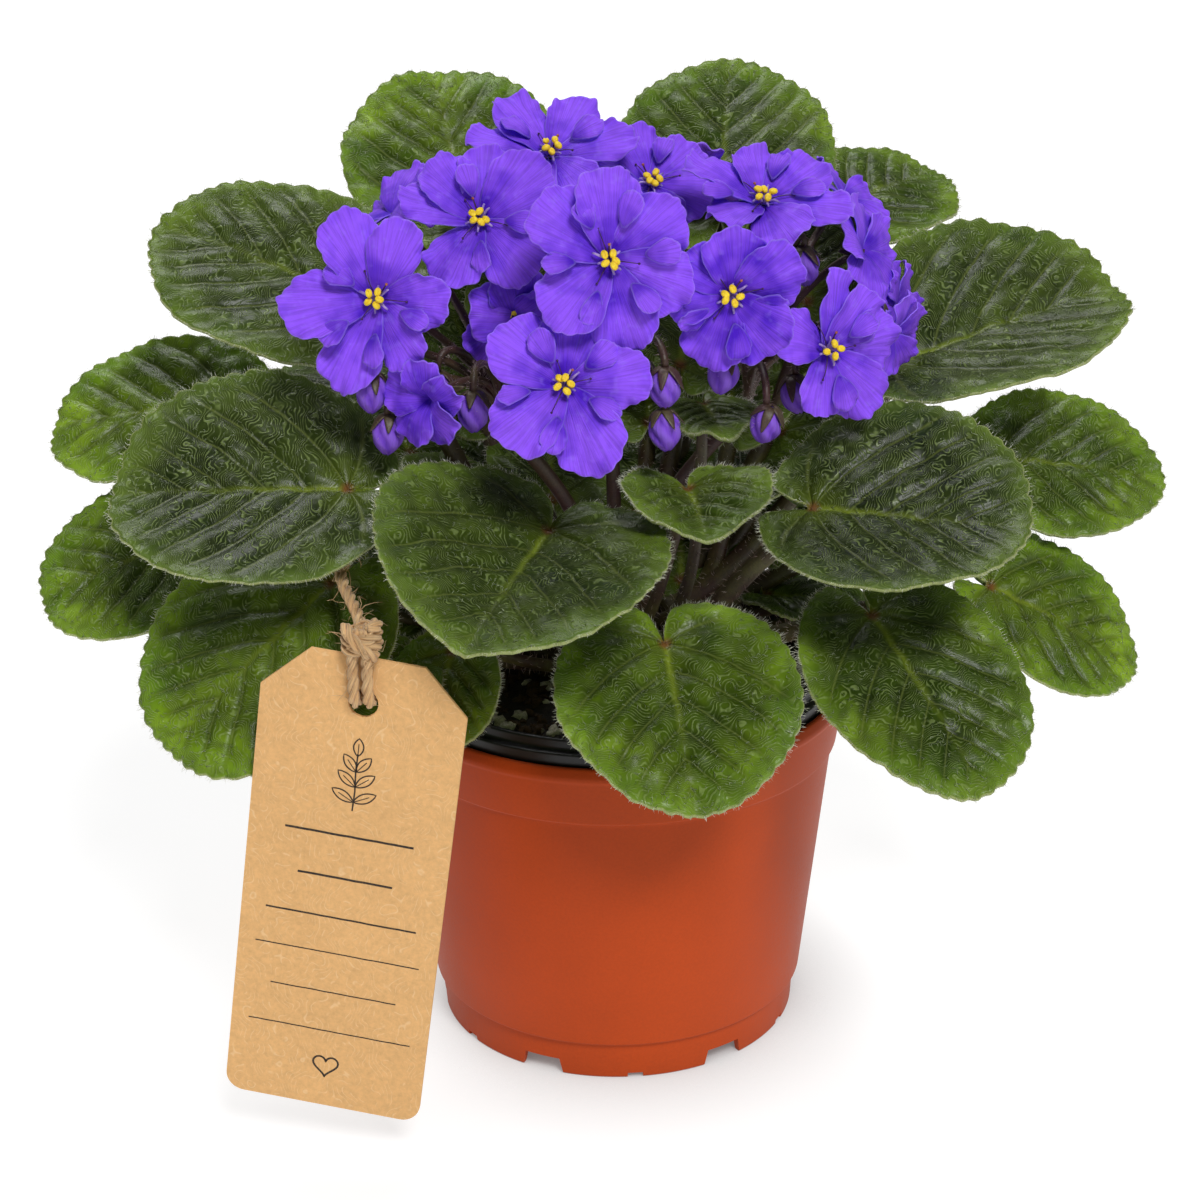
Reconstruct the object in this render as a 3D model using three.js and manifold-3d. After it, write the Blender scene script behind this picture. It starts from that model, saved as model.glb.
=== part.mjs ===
import * as THREE from 'three';
import { mergeVertices } from 'three/addons/utils/BufferGeometryUtils.js';
import Module from 'manifold-3d';

// A flowering african violet in its nursery pot, with a kraft card tag tied on with jute twine.
// Millimetres, +Z up. The origin is on the floor under the middle of the pot, the front is -Y.
// Angles are degrees. An azimuth is counted from +X toward +Y, an elevation from level upward.

const wasm = await Module();
wasm.setup();

const GAP = 0.3; // clear space between neighbouring pieces
const MERGE = 1e-4; // corners closer than this are one corner
const ROUND_SIDES = 32; // sides of the pot, the inner pot and the potting mix

const POT = {
  height: 82,
  mouthRadius: 50.6,
  lipRadius: 51.7,
  crestRadius: 52.5,
  crestHeight: 79.5,
  bandRadius: 50.7,
  bandHeight: 68.2,
  shoulderRadius: 49.9,
  heelRadius: 43.2,
  footTopRadius: 41.9,
  footRadius: 41.4,
  footHeight: 9.2,
  wall: 1.6,
  floor: 7,
  floorThickness: 2,
  drainRadius: 4,
  drainCircle: 24,
  drains: 4,
};

const FOOT_NOTCH = {
  pairs: 6, // one wide and one small notch in turn round the foot
  firstAzimuth: -115,
  wide: { width: 11, height: 3.8, topWidth: 8.5 },
  small: { width: 4, height: 1.2, topWidth: 3.4 },
};

const INNER_POT = {
  wall: 1,
  floor: 9.4,
  floorRadius: 40,
  neckRadius: 47.6,
  neckHeight: 78.5,
  flangeRadius: 50.2,
  flangeBottom: 80,
  flangeTop: 84.5,
  stepRadius: 48.3,
  rimRadius: 46.6,
  rimTop: 86.8,
  drainRadius: 3,
};

const MIX = {
  level: 85.4,
  edgeLevel: 84.2,
  lump: 0.8,
  rings: [40, 31, 22, 14],
};

const CROWN = { radius: 10, topRadius: 8.5, tipRadius: 6, bottom: 55, shoulder: 101, top: 104, sides: 14 };

const LEAF = {
  thickness: 1,
  spokes: 22, // corners round the edge, in and out in turn for the scallops
  rings: 2,
  stalkSides: 5,
  stalkSteps: 4,
  stalkRadius: 2.1,
  smallStalkRadius: 1.3,
  smallLength: 25, // blades shorter than this have the small stalk
  lobeRadius: 0.62, // the blade is a disc of this radius and centre, in blade lengths,
  lobeCentre: 0.38, // measured from where the stalk joins
  notchDepth: 0.75,
  notchWidth: 13,
  scallop: 0.04,
  pucker: 0.6,
};

// Heights on the crown where leaf stalks join it, from the oldest leaves up.
const LOW = 88.6;
const MIDDLE = 93.2;
const HIGH = 97.8;

// Each leaf: where its stalk meets the blade, the blade's azimuth, pitch and roll, its length
// from there to the tip, its width, how far its halves fold up and its tip droops, and the
// azimuth and height of its root on the crown.
const LEAVES = [
  { name: 'leaf_back_left', at: [-33, 38, 179], turn: [105, 40, -8], size: [48, 53], fold: 0, droop: 4,
    root: [131, HIGH] },
  { name: 'leaf_back_right', at: [25, 38, 180], turn: [85, 40, 0], size: [48, 53], fold: 0, droop: 4,
    root: [68, HIGH] },
  { name: 'leaf_upper_left', at: [-53, 8, 166.5], turn: [163, 20, -25], size: [54, 54], fold: 2, droop: 4,
    root: [172, HIGH] },
  { name: 'leaf_upper_right', at: [62, 5, 153.5], turn: [16, 15, 18], size: [55, 61], fold: 16, droop: 1,
    root: [5, HIGH] },
  { name: 'leaf_left', at: [-56, -35, 140], turn: [185, 2, -34], size: [50, 56], fold: 10, droop: 2,
    root: [-148, MIDDLE] },
  { name: 'leaf_right', at: [41, -38, 136], turn: [-18, 0, 25], size: [46, 56], fold: 14, droop: 0,
    root: [-43, MIDDLE] },
  { name: 'leaf_front', at: [-14, -42, 133], turn: [-110, -10, -13], size: [50, 61], fold: 22, droop: 0,
    root: [-108, MIDDLE] },
  { name: 'leaf_front_small', at: [15, -36, 140], turn: [-80, -8, 0], size: [21, 32], fold: 22, droop: 2,
    root: [-72, HIGH] },
  { name: 'leaf_front_low', at: [10, -46, 109], turn: [-81, -28, 0], size: [42, 52], fold: 14, droop: 6,
    root: [-78, LOW] },
  { name: 'leaf_right_low', at: [54, -40, 112.5], turn: [-61, -27, 6], size: [47, 47], fold: 3, droop: 4,
    root: [-37, LOW] },
  { name: 'leaf_left_low', at: [-60.5, -37, 119.5], turn: [214, -33, -23], size: [50, 54], fold: 0, droop: 4,
    root: [-150, LOW] },
  { name: 'leaf_behind_tag', at: [-35, -40, 105], turn: [248, -44, 0], size: [22, 27], fold: 0, droop: 4,
    root: [-126, LOW] },
  { name: 'leaf_far_left', at: [-86, 14, 144], turn: [176, -5, -32], size: [43.5, 43], fold: 0, droop: 4,
    root: [171, MIDDLE] },
  { name: 'leaf_far_left_low', at: [-87, -10, 122], turn: [188, -15, -30], size: [43.5, 43], fold: 0, droop: 4,
    root: [-175, LOW] },
  { name: 'leaf_far_right', at: [88, 20, 127.5], turn: [-4, -4, 33], size: [39.5, 43.5], fold: 2, droop: 4,
    root: [13, MIDDLE] },
  { name: 'leaf_far_right_low', at: [84, -8, 106], turn: [-4, -26, 30], size: [39, 40], fold: 4, droop: 5,
    root: [-5, LOW] },
  { name: 'leaf_back_right_small', at: [52, 45, 178], turn: [39, 17, 18], size: [34, 39], fold: 2, droop: 5,
    root: [36, HIGH] },
  { name: 'leaf_inner_small', at: [19, -15, 152], turn: [-79, 0, 0], size: [17, 20], fold: 2, droop: 3,
    root: [-36, HIGH] },
  { name: 'leaf_rear_middle', at: [-8, 50, 140], turn: [98, 20, 0], size: [44, 48], fold: 5, droop: 4,
    root: [102, MIDDLE] },
  { name: 'leaf_rear_right', at: [44, 46, 138], turn: [48, 8, 0], size: [44, 46], fold: 4, droop: 4,
    root: [45, MIDDLE] },
  { name: 'leaf_rear_left', at: [-48, 44, 134], turn: [138, 5, 0], size: [44, 46], fold: 4, droop: 4,
    root: [139, MIDDLE] },
  { name: 'leaf_rear_low', at: [4, 50, 112], turn: [86, -12, 0], size: [40, 44], fold: 4, droop: 4,
    root: [86, LOW] },
];

const BLOOM = {
  thickness: 0.7,
  petals: 5,
  cornersPerPetal: 5,
  rings: 2,
  throat: 0.5, // radius of the clefts between petals, in bloom radii
  fullness: 0.4, // the lower, the squarer the petals' ends
  smallPetals: 0.1, // how much smaller the two upper petals are
  cup: 0.12,
  wave: 0.5,
  shelf: 0.8, // height of the small inner lobes
};

const CALYX = { points: 5, radius: 4.2, waist: 1.8, thickness: 0.8 };
const ANTHER = { radius: 1.3, circle: 1.5, height: 2.3, columnRadius: 1.1, columnHeight: 1.8, count: 4 };
const PEDICEL = { radius: 0.8, sides: 4, steps: 4, rise: 14, approach: 11 };
const STALK = { radius: 1.6, sides: 5, steps: 4 };
const BUD = { radius: 3.3, length: 8.5, across: 6, along: 4 };

// Each spray: where its stalk leaves the crown and where it branches, then its blooms and buds.
// A bloom has its throat's place, the azimuth and elevation it faces, its diameter and its spin.
// A bud has only a place, and hangs.
const SPRAYS = [
  { name: 'spray_left', root: [-5, -2], fork: [-24, -14, 146],
    blooms: [
      { at: [-48, -34, 180], face: [-100, 20], across: 36, spin: 8, open: true },
      { at: [-27, -26, 194], face: [-100, 30], across: 33, spin: -12, open: true },
      { at: [-21, -22, 174], face: [-85, -5], across: 25, spin: 20, open: true },
      { at: [-37, -39, 161], face: [-120, -5], across: 22, spin: 0, open: false },
      { at: [-47, -2, 190], face: [-170, 50], across: 28, spin: 30, open: false },
      { at: [-30, 22, 188], face: [120, 50], across: 30, spin: 15, open: false },
    ],
    buds: [[-50, -36, 161], [-47, -36, 152], [-29, -40, 158], [-37, -26, 158]] },
  { name: 'spray_middle', root: [0, 4], fork: [-1, -4, 152],
    blooms: [
      { at: [-13, -8, 203], face: [-90, 60], across: 36, spin: 15, open: true },
      { at: [8, 0, 195], face: [-80, 45], across: 28, spin: -10, open: true },
      { at: [-1, -46, 191], face: [-90, 15], across: 35, spin: -6, open: true },
      { at: [-10, -52, 167], face: [-90, 25], across: 34, spin: 22, open: true },
      { at: [18, 28, 190], face: [70, 50], across: 30, spin: 0, open: false },
    ],
    buds: [[10, -44, 164], [10, -44, 155]] },
  { name: 'spray_right', root: [5, -2], fork: [29, -8, 148],
    blooms: [
      { at: [31, -18, 195], face: [-85, 60], across: 36, spin: -18, open: true },
      { at: [23, -42, 183], face: [-85, 3], across: 30, spin: 10, open: true },
      { at: [43, -32, 168], face: [-58, 12], across: 32, spin: -8, open: true },
      { at: [51, 17, 188], face: [-20, 50], across: 24, spin: 12, open: false },
      { at: [53, -6, 182], face: [-28, 25], across: 25, spin: 40, open: false },
      { at: [61.5, 3, 167.5], face: [-30, 8], across: 21, spin: 5, open: false },
      { at: [59, -14, 166], face: [-40, -10], across: 20, spin: -20, open: false },
    ],
    buds: [[22, -38, 165], [31, -38, 154], [38, -24, 156], [40, -14, 181]] },
];

const TAG = {
  width: 42.4,
  height: 106,
  thickness: 0.8,
  clip: 9.5,
  cornerRadius: 4,
  cornerSegments: 4,
  holeRadius: 3.1,
  holeSegments: 16,
  holeBelowTop: 10,
  holeAt: [-51, -71.5, 107.2],
  yaw: -8,
  lean: -8,
};

const TWINE = { radius: 1.3, sides: 8, steps: 22 };

// The strand, from over the stalk of leaf_left and round it to the knot.
const TWINE_ROUTE = [
  [-44, -33.5, 133.5],
  [-45.1, -35.6, 134.2],
  [-46.5, -37.5, 134.5],
  [-48.7, -38.9, 133.5],
  [-51, -40, 132],
  [-53.2, -40.9, 130.2],
  [-55, -42, 128.5],
  [-56.3, -43.8, 127.2],
  [-57, -46, 126.2],
  [-56.8, -48.9, 125.4],
  [-56, -52, 124.8],
  [-55.1, -55, 124.3],
  [-54, -58, 123.8],
  [-52.9, -61.2, 123.1],
  [-52, -64, 122.4],
  [-51.5, -66.8, 121.8],
];

const KNOT = {
  centre: [-50.8, -72.2, 121.4],
  radius: 3.6,
  squash: 0.9,
  wrapRadius: 3,
  wrapSides: 5,
  wrapSteps: 8,
  wraps: [-25, 30],
  strandSpacing: 2.9,
  holeHeight: 0.2, // where the loop crosses the hole, above its middle
  strandRadius: 1.25,
  strandSides: 5,
  strandSteps: 10,
};

const COLOURS = {
  pot: 0xb04a26,
  innerPot: 0x15161a,
  mix: 0x1c1410,
  crown: 0x5a3a2a,
  leaf: 0x2f5a22,
  spray: 0x5b3038,
  bloom: 0x5a2fe0,
  anther: 0xf2d21c,
  tag: 0xcf9a5e,
  twine: 0xb98a55,
};

const radians = THREE.MathUtils.degToRad;

// Solids

function bare(geometry) {
  const copy = new THREE.BufferGeometry();
  copy.setAttribute('position', geometry.attributes.position.clone());
  if (geometry.index) {
    copy.setIndex(geometry.index.clone());
  }
  return mergeVertices(copy, MERGE);
}

function facesOf(geometry) {
  const faces = [];
  const index = geometry.index.array;
  for (let i = 0; i < index.length; i += 3) {
    const [a, b, c] = index.slice(i, i + 3);
    if (a !== b && b !== c && c !== a) {
      faces.push([a, b, c]);
    }
  }
  return faces;
}

function solidOf(geometry) {
  const merged = bare(geometry);
  return new wasm.Manifold(new wasm.Mesh({
    numProp: 3,
    vertProperties: new Float32Array(merged.attributes.position.array),
    triVerts: new Uint32Array(facesOf(merged).flat()),
  }));
}

function geometryOf(solid) {
  const mesh = solid.getMesh();
  const geometry = new THREE.BufferGeometry();
  geometry.setAttribute('position', new THREE.BufferAttribute(mesh.vertProperties, 3));
  geometry.setIndex(new THREE.BufferAttribute(mesh.triVerts, 1));
  return geometry;
}

function joined(geometries) {
  const [first, ...rest] = geometries.map(solidOf);
  return geometryOf(rest.reduce((whole, piece) => whole.add(piece), first));
}

function cut(geometry, tools) {
  return geometryOf(tools.map(solidOf).reduce((whole, tool) => whole.subtract(tool), solidOf(geometry)));
}

function meshOf(name, geometry, colour, roughness) {
  const material = new THREE.MeshStandardMaterial({ color: colour, roughness, metalness: 0 });
  const mesh = new THREE.Mesh(geometry, material);
  mesh.name = name;
  return mesh;
}

// Solid of revolution round Z, from [radius, height] points.
function turned(profile, sides) {
  const points = profile.map(([radius, height]) => new THREE.Vector2(radius, height));
  return new THREE.LatheGeometry(points, sides).rotateX(Math.PI / 2);
}

function tube(path, radius, sides, steps) {
  const section = new THREE.Shape();
  for (let i = 0; i < sides; i += 1) {
    const angle = (i / sides) * 2 * Math.PI;
    const corner = [radius * Math.cos(angle), radius * Math.sin(angle)];
    if (i === 0) {
      section.moveTo(...corner);
    } else {
      section.lineTo(...corner);
    }
  }
  section.closePath();
  return new THREE.ExtrudeGeometry(section, { steps, extrudePath: path, bevelEnabled: false });
}

// A flat unit disc of spokes and rings, centred on the origin, as one sheet.
function unitDisc(spokes, rings) {
  return bare(new THREE.RingGeometry(0, 1, spokes, rings, -Math.PI, 2 * Math.PI));
}

// Shapes a sheet by a rule and closes it into a thin solid. The lower face repeats the upper
// face's triangles, so the two never cross, and a strip joins them round the edge.
function blade(sheet, thickness, shape) {
  const flat = sheet.attributes.position;
  const upper = [];
  for (let i = 0; i < flat.count; i += 1) {
    upper.push(shape(flat.getX(i), flat.getY(i)));
  }
  const lower = upper.map(([x, y, z]) => [x, y, z - thickness]);
  const top = facesOf(sheet);
  const bottom = top.map(([a, b, c]) => [a + flat.count, c + flat.count, b + flat.count]);
  const edges = new Set(top.flatMap(([a, b, c]) => [`${a} ${b}`, `${b} ${c}`, `${c} ${a}`]));
  const strip = [];
  for (const edge of edges) {
    const [a, b] = edge.split(' ').map(Number);
    if (!edges.has(`${b} ${a}`)) {
      strip.push([b, a, a + flat.count], [b, a + flat.count, b + flat.count]);
    }
  }
  const geometry = new THREE.BufferGeometry();
  geometry.setAttribute('position', new THREE.Float32BufferAttribute([...upper, ...lower].flat(), 3));
  geometry.setIndex([...top, ...bottom, ...strip].flat());
  return geometry;
}

// Pot, inner pot, potting mix and crown

function notchCutter({ width, height, topWidth }, azimuth) {
  const profile = new THREE.Shape();
  profile.moveTo(-width / 2, -height);
  profile.lineTo(width / 2, -height);
  profile.lineTo(width / 2, 0);
  profile.lineTo(topWidth / 2, height);
  profile.lineTo(-topWidth / 2, height);
  profile.lineTo(-width / 2, 0);
  profile.closePath();
  const reach = 2 * POT.wall + 4;
  const cutter = new THREE.ExtrudeGeometry(profile, { depth: reach, bevelEnabled: false });
  cutter.rotateX(Math.PI / 2);
  cutter.translate(0, POT.footTopRadius + reach / 2 - POT.wall, 0);
  return cutter.rotateZ(radians(azimuth - 90));
}

function drainCutters(radius, from, to) {
  const cutters = [];
  for (let i = 0; i < POT.drains; i += 1) {
    const drill = new THREE.CylinderGeometry(radius, radius, to - from, 8);
    drill.rotateX(Math.PI / 2);
    drill.translate(POT.drainCircle, 0, (from + to) / 2);
    cutters.push(drill.rotateZ(radians(45 + (360 / POT.drains) * i)));
  }
  return cutters;
}

function pot() {
  const inside = POT.floor + POT.floorThickness;
  const body = turned([
    [0, POT.floor],
    [POT.footRadius - POT.wall, POT.floor],
    [POT.footRadius - POT.wall, 0],
    [POT.footRadius, 0],
    [POT.footTopRadius, POT.footHeight],
    [POT.heelRadius, POT.footHeight],
    [POT.shoulderRadius, POT.bandHeight],
    [POT.bandRadius, POT.bandHeight],
    [POT.crestRadius, POT.crestHeight],
    [POT.lipRadius, POT.height],
    [POT.mouthRadius, POT.height],
    [POT.mouthRadius, POT.crestHeight],
    [POT.shoulderRadius - POT.wall, POT.bandHeight],
    [POT.heelRadius - POT.wall, inside],
    [0, inside],
  ], ROUND_SIDES);
  const cutters = drainCutters(POT.drainRadius, POT.floor - 1, inside + 1);
  for (let i = 0; i < FOOT_NOTCH.pairs; i += 1) {
    const azimuth = FOOT_NOTCH.firstAzimuth + (360 / FOOT_NOTCH.pairs) * i;
    cutters.push(notchCutter(FOOT_NOTCH.wide, azimuth));
    cutters.push(notchCutter(FOOT_NOTCH.small, azimuth + 180 / FOOT_NOTCH.pairs));
  }
  return meshOf('pot', cut(body, cutters), COLOURS.pot, 0.5);
}

function innerPot() {
  const inside = INNER_POT.floor + INNER_POT.wall;
  const body = turned([
    [0, INNER_POT.floor],
    [INNER_POT.floorRadius, INNER_POT.floor],
    [INNER_POT.neckRadius, INNER_POT.neckHeight],
    [INNER_POT.flangeRadius, INNER_POT.flangeBottom],
    [INNER_POT.flangeRadius, INNER_POT.flangeTop - 0.6],
    [INNER_POT.flangeRadius - 0.6, INNER_POT.flangeTop],
    [INNER_POT.stepRadius, INNER_POT.flangeTop],
    [INNER_POT.stepRadius - 0.4, INNER_POT.rimTop - 0.4],
    [INNER_POT.rimRadius, INNER_POT.rimTop],
    [INNER_POT.neckRadius - INNER_POT.wall, INNER_POT.neckHeight],
    [INNER_POT.floorRadius - INNER_POT.wall, inside],
    [0, inside],
  ], ROUND_SIDES);
  const cutters = drainCutters(INNER_POT.drainRadius, INNER_POT.floor - 1, inside + 1);
  return meshOf('inner_pot', cut(body, cutters), COLOURS.innerPot, 0.35);
}

function crownProfile(grow) {
  return [
    [0, CROWN.bottom - grow],
    [CROWN.tipRadius + grow, CROWN.bottom - grow],
    [CROWN.radius + grow, MIX.edgeLevel - 5],
    [CROWN.radius + grow, CROWN.shoulder],
    [CROWN.topRadius + grow, CROWN.top + grow],
    [0, CROWN.top + grow],
  ];
}

function crown() {
  return meshOf('crown', turned(crownProfile(0), CROWN.sides), COLOURS.crown, 0.8);
}

function pottingMix() {
  const wallGap = INNER_POT.wall + GAP;
  const bottom = INNER_POT.floor + wallGap;
  const body = turned([
    [0, bottom],
    [INNER_POT.floorRadius - wallGap, bottom],
    [INNER_POT.neckRadius - wallGap, INNER_POT.neckHeight],
    [INNER_POT.neckRadius - wallGap, MIX.edgeLevel],
    ...MIX.rings.map((radius) => [radius, MIX.level]),
    [0, MIX.level],
  ], ROUND_SIDES);
  const heap = bare(body);
  const places = heap.attributes.position;
  for (let i = 0; i < places.count; i += 1) {
    const x = places.getX(i);
    const y = places.getY(i);
    if (places.getZ(i) > MIX.edgeLevel + 1) {
      const lumps = Math.sin(x * 0.9) * Math.cos(y * 0.8) + Math.sin(x * 0.37 + y * 0.51);
      places.setZ(i, MIX.level + (MIX.lump * lumps) / 2);
    }
  }
  const hole = turned(crownProfile(GAP), CROWN.sides);
  return meshOf('potting_mix', cut(heap, [hole]), COLOURS.mix, 0.95);
}

// Leaves

// Distance from the stalk to the blade's edge in a given direction, in blade lengths.
function leafEdge(angle) {
  const across = LEAF.lobeCentre * Math.sin(angle);
  const disc = LEAF.lobeCentre * Math.cos(angle) + Math.sqrt(LEAF.lobeRadius ** 2 - across ** 2);
  const fromBack = (Math.PI - Math.abs(angle)) / radians(LEAF.notchWidth);
  return disc * (1 - LEAF.notchDepth * Math.exp(-(fromBack ** 2)));
}

// The blade with the stalk's join as its origin, the tip along +X and its face up.
function leafBlade({ size: [length, width], fold, droop }) {
  const widest = 2 * LEAF.lobeRadius * length;
  return blade(unitDisc(LEAF.spokes, LEAF.rings), LEAF.thickness, (u, v) => {
    const reach = Math.hypot(u, v);
    const angle = Math.atan2(v, u);
    const beat = Math.cos((LEAF.spokes / 2) * angle);
    const edge = length * leafEdge(angle) * reach * (1 - LEAF.scallop * (1 + beat) * reach * 0.5);
    const x = edge * Math.cos(angle);
    const y = (edge * Math.sin(angle) * width) / widest;
    const puckers = LEAF.pucker * beat * reach * (1 - 0.5 * reach);
    return [x, y, Math.abs(y) * Math.sin(radians(fold)) - droop * (x / length) ** 2 + puckers];
  });
}

function leafStalk({ size: [length], root: [azimuth, height] }, toLeaf) {
  const radius = length < LEAF.smallLength ? LEAF.smallStalkRadius : LEAF.stalkRadius;
  const outward = new THREE.Vector3(Math.cos(radians(azimuth)), Math.sin(radians(azimuth)), 0);
  const start = outward.clone().multiplyScalar(CROWN.radius + GAP).setZ(height);
  const leaving = start.clone().addScaledVector(outward, 16);
  const arriving = new THREE.Vector3(-0.35 * length, 0, -0.25 * length);
  const end = new THREE.Vector3(0.12 * length, 0, -radius);
  const path = new THREE.CubicBezierCurve3(
    start.applyMatrix4(toLeaf), leaving.applyMatrix4(toLeaf), arriving, end);
  return tube(path, radius, LEAF.stalkSides, LEAF.stalkSteps);
}

function leaf(spec) {
  const [heading, pitch, roll] = spec.turn.map(radians);
  const mesh = meshOf(spec.name, leafBlade(spec), COLOURS.leaf, 0.6);
  mesh.position.set(...spec.at);
  mesh.rotation.set(roll, -pitch, heading, 'ZYX');
  mesh.updateMatrixWorld();
  const stalk = leafStalk(spec, mesh.matrixWorld.clone().invert());
  mesh.geometry = joined([mesh.geometry, stalk]);
  return mesh;
}

// Blooms and sprays

function facing([azimuth, elevation]) {
  const [a, e] = [radians(azimuth), radians(elevation)];
  return new THREE.Vector3(Math.cos(e) * Math.cos(a), Math.cos(e) * Math.sin(a), Math.sin(e));
}

function turnToFace(object, { at, face: [azimuth, elevation] }) {
  object.position.set(...at);
  object.rotation.set(radians(90 - elevation), 0, radians(azimuth + 90), 'ZYX');
  return object;
}

// The corolla, its throat at the origin and its face toward +Z, with +Y the upper side.
function corolla({ across, spin }) {
  const spokes = BLOOM.petals * BLOOM.cornersPerPetal;
  const half = BLOOM.petals / 2;
  return blade(unitDisc(spokes, BLOOM.rings), BLOOM.thickness, (u, v) => {
    const reach = Math.hypot(u, v);
    const angle = Math.atan2(v, u);
    const turn = angle + radians(spin);
    const lobe = Math.abs(Math.cos(half * (angle + Math.PI))) ** BLOOM.fullness;
    const petal = BLOOM.throat + (1 - BLOOM.throat) * lobe;
    const upper = 1 - BLOOM.smallPetals * Math.max(0, Math.sin(turn));
    const edge = (across / 2) * petal * upper * reach;
    const ruffle = BLOOM.wave * Math.sin(4 * BLOOM.petals * half * angle) * reach;
    const shelf = BLOOM.shelf * lobe * 4 * reach * (1 - reach);
    return [edge * Math.cos(turn), edge * Math.sin(turn), BLOOM.cup * edge + ruffle + shelf];
  });
}

function bloom(name, spec) {
  return turnToFace(meshOf(name, corolla(spec), COLOURS.bloom, 0.6), spec);
}

function stamens(name, spec) {
  const { columnRadius, columnHeight } = ANTHER;
  const column = new THREE.CylinderGeometry(columnRadius, columnRadius, columnHeight, 5);
  column.rotateX(Math.PI / 2).translate(0, 0, GAP + columnHeight / 2);
  const anthers = [];
  for (let i = 0; i < ANTHER.count; i += 1) {
    const anther = new THREE.OctahedronGeometry(ANTHER.radius, 0);
    anther.translate(ANTHER.circle, 0, ANTHER.height);
    anthers.push(anther.rotateZ((i / ANTHER.count) * 2 * Math.PI + 0.2));
  }
  return turnToFace(meshOf(name, joined([column, ...anthers]), COLOURS.anther, 0.55), spec);
}

// A five-pointed calyx behind a bloom, in the bloom's own directions.
function calyx(spec) {
  const star = new THREE.Shape();
  for (let i = 0; i < 2 * CALYX.points; i += 1) {
    const radius = i % 2 === 0 ? CALYX.radius : CALYX.waist;
    const angle = (i / CALYX.points) * Math.PI;
    const corner = [radius * Math.cos(angle), radius * Math.sin(angle)];
    if (i === 0) {
      star.moveTo(...corner);
    } else {
      star.lineTo(...corner);
    }
  }
  star.closePath();
  const geometry = new THREE.ExtrudeGeometry(star, { depth: CALYX.thickness, bevelEnabled: false });
  geometry.translate(0, 0, -BLOOM.thickness - GAP - CALYX.thickness);
  const holder = turnToFace(new THREE.Object3D(), spec);
  holder.updateMatrixWorld();
  return geometry.applyMatrix4(holder.matrixWorld);
}

function pedicel(fork, end, into) {
  const leaving = fork.clone().add(new THREE.Vector3(0, 0, PEDICEL.rise));
  const arriving = end.clone().addScaledVector(into, -PEDICEL.approach);
  const path = new THREE.CubicBezierCurve3(fork, leaving, arriving, end);
  return tube(path, PEDICEL.radius, PEDICEL.sides, PEDICEL.steps);
}

function bud(at) {
  const shape = new THREE.SphereGeometry(1, BUD.across, BUD.along).rotateX(Math.PI / 2);
  shape.scale(BUD.radius, BUD.radius, BUD.length / 2);
  return shape.translate(...at);
}

function spray({ name, root, fork, blooms, buds }) {
  const branching = new THREE.Vector3(...fork);
  const start = new THREE.Vector3(...root, CROWN.top + GAP);
  const rising = start.clone().add(new THREE.Vector3(0, 0, 18));
  const stalkPath = new THREE.QuadraticBezierCurve3(start, rising, branching);
  const pieces = [tube(stalkPath, STALK.radius, STALK.sides, STALK.steps)];
  for (const spec of blooms) {
    const into = facing(spec.face);
    const depth = BLOOM.thickness + GAP + CALYX.thickness / 2;
    const end = new THREE.Vector3(...spec.at).addScaledVector(into, -depth);
    pieces.push(pedicel(branching, end, into), calyx(spec));
  }
  const downward = new THREE.Vector3(0, 0, -1);
  for (const at of buds) {
    pieces.push(pedicel(branching, new THREE.Vector3(...at), downward), bud(at));
  }
  return meshOf(name, joined(pieces), COLOURS.spray, 0.7);
}

// Tag, twine and knot

function tag() {
  const { width, height, clip, cornerRadius, holeBelowTop } = TAG;
  const [left, right] = [-width / 2, width / 2];
  const top = holeBelowTop;
  const bottom = holeBelowTop - height;
  const card = new THREE.Shape();
  card.moveTo(left + clip, top);
  card.lineTo(left, top - clip);
  card.lineTo(left, bottom + cornerRadius);
  card.absarc(left + cornerRadius, bottom + cornerRadius, cornerRadius, Math.PI, 1.5 * Math.PI);
  card.absarc(right - cornerRadius, bottom + cornerRadius, cornerRadius, -0.5 * Math.PI, 0);
  card.lineTo(right, top - clip);
  card.lineTo(right - clip, top);
  card.closePath();
  const plate = new THREE.ExtrudeGeometry(card, {
    depth: TAG.thickness, bevelEnabled: false, curveSegments: TAG.cornerSegments,
  });
  const punch = new THREE.CylinderGeometry(TAG.holeRadius, TAG.holeRadius, 4, TAG.holeSegments);
  punch.rotateX(Math.PI / 2);
  plate.translate(0, 0, -TAG.thickness / 2);
  const mesh = meshOf('tag', cut(plate, [punch]), COLOURS.tag, 0.9);
  mesh.rotation.z = radians(TAG.lean);
  return mesh;
}

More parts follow.
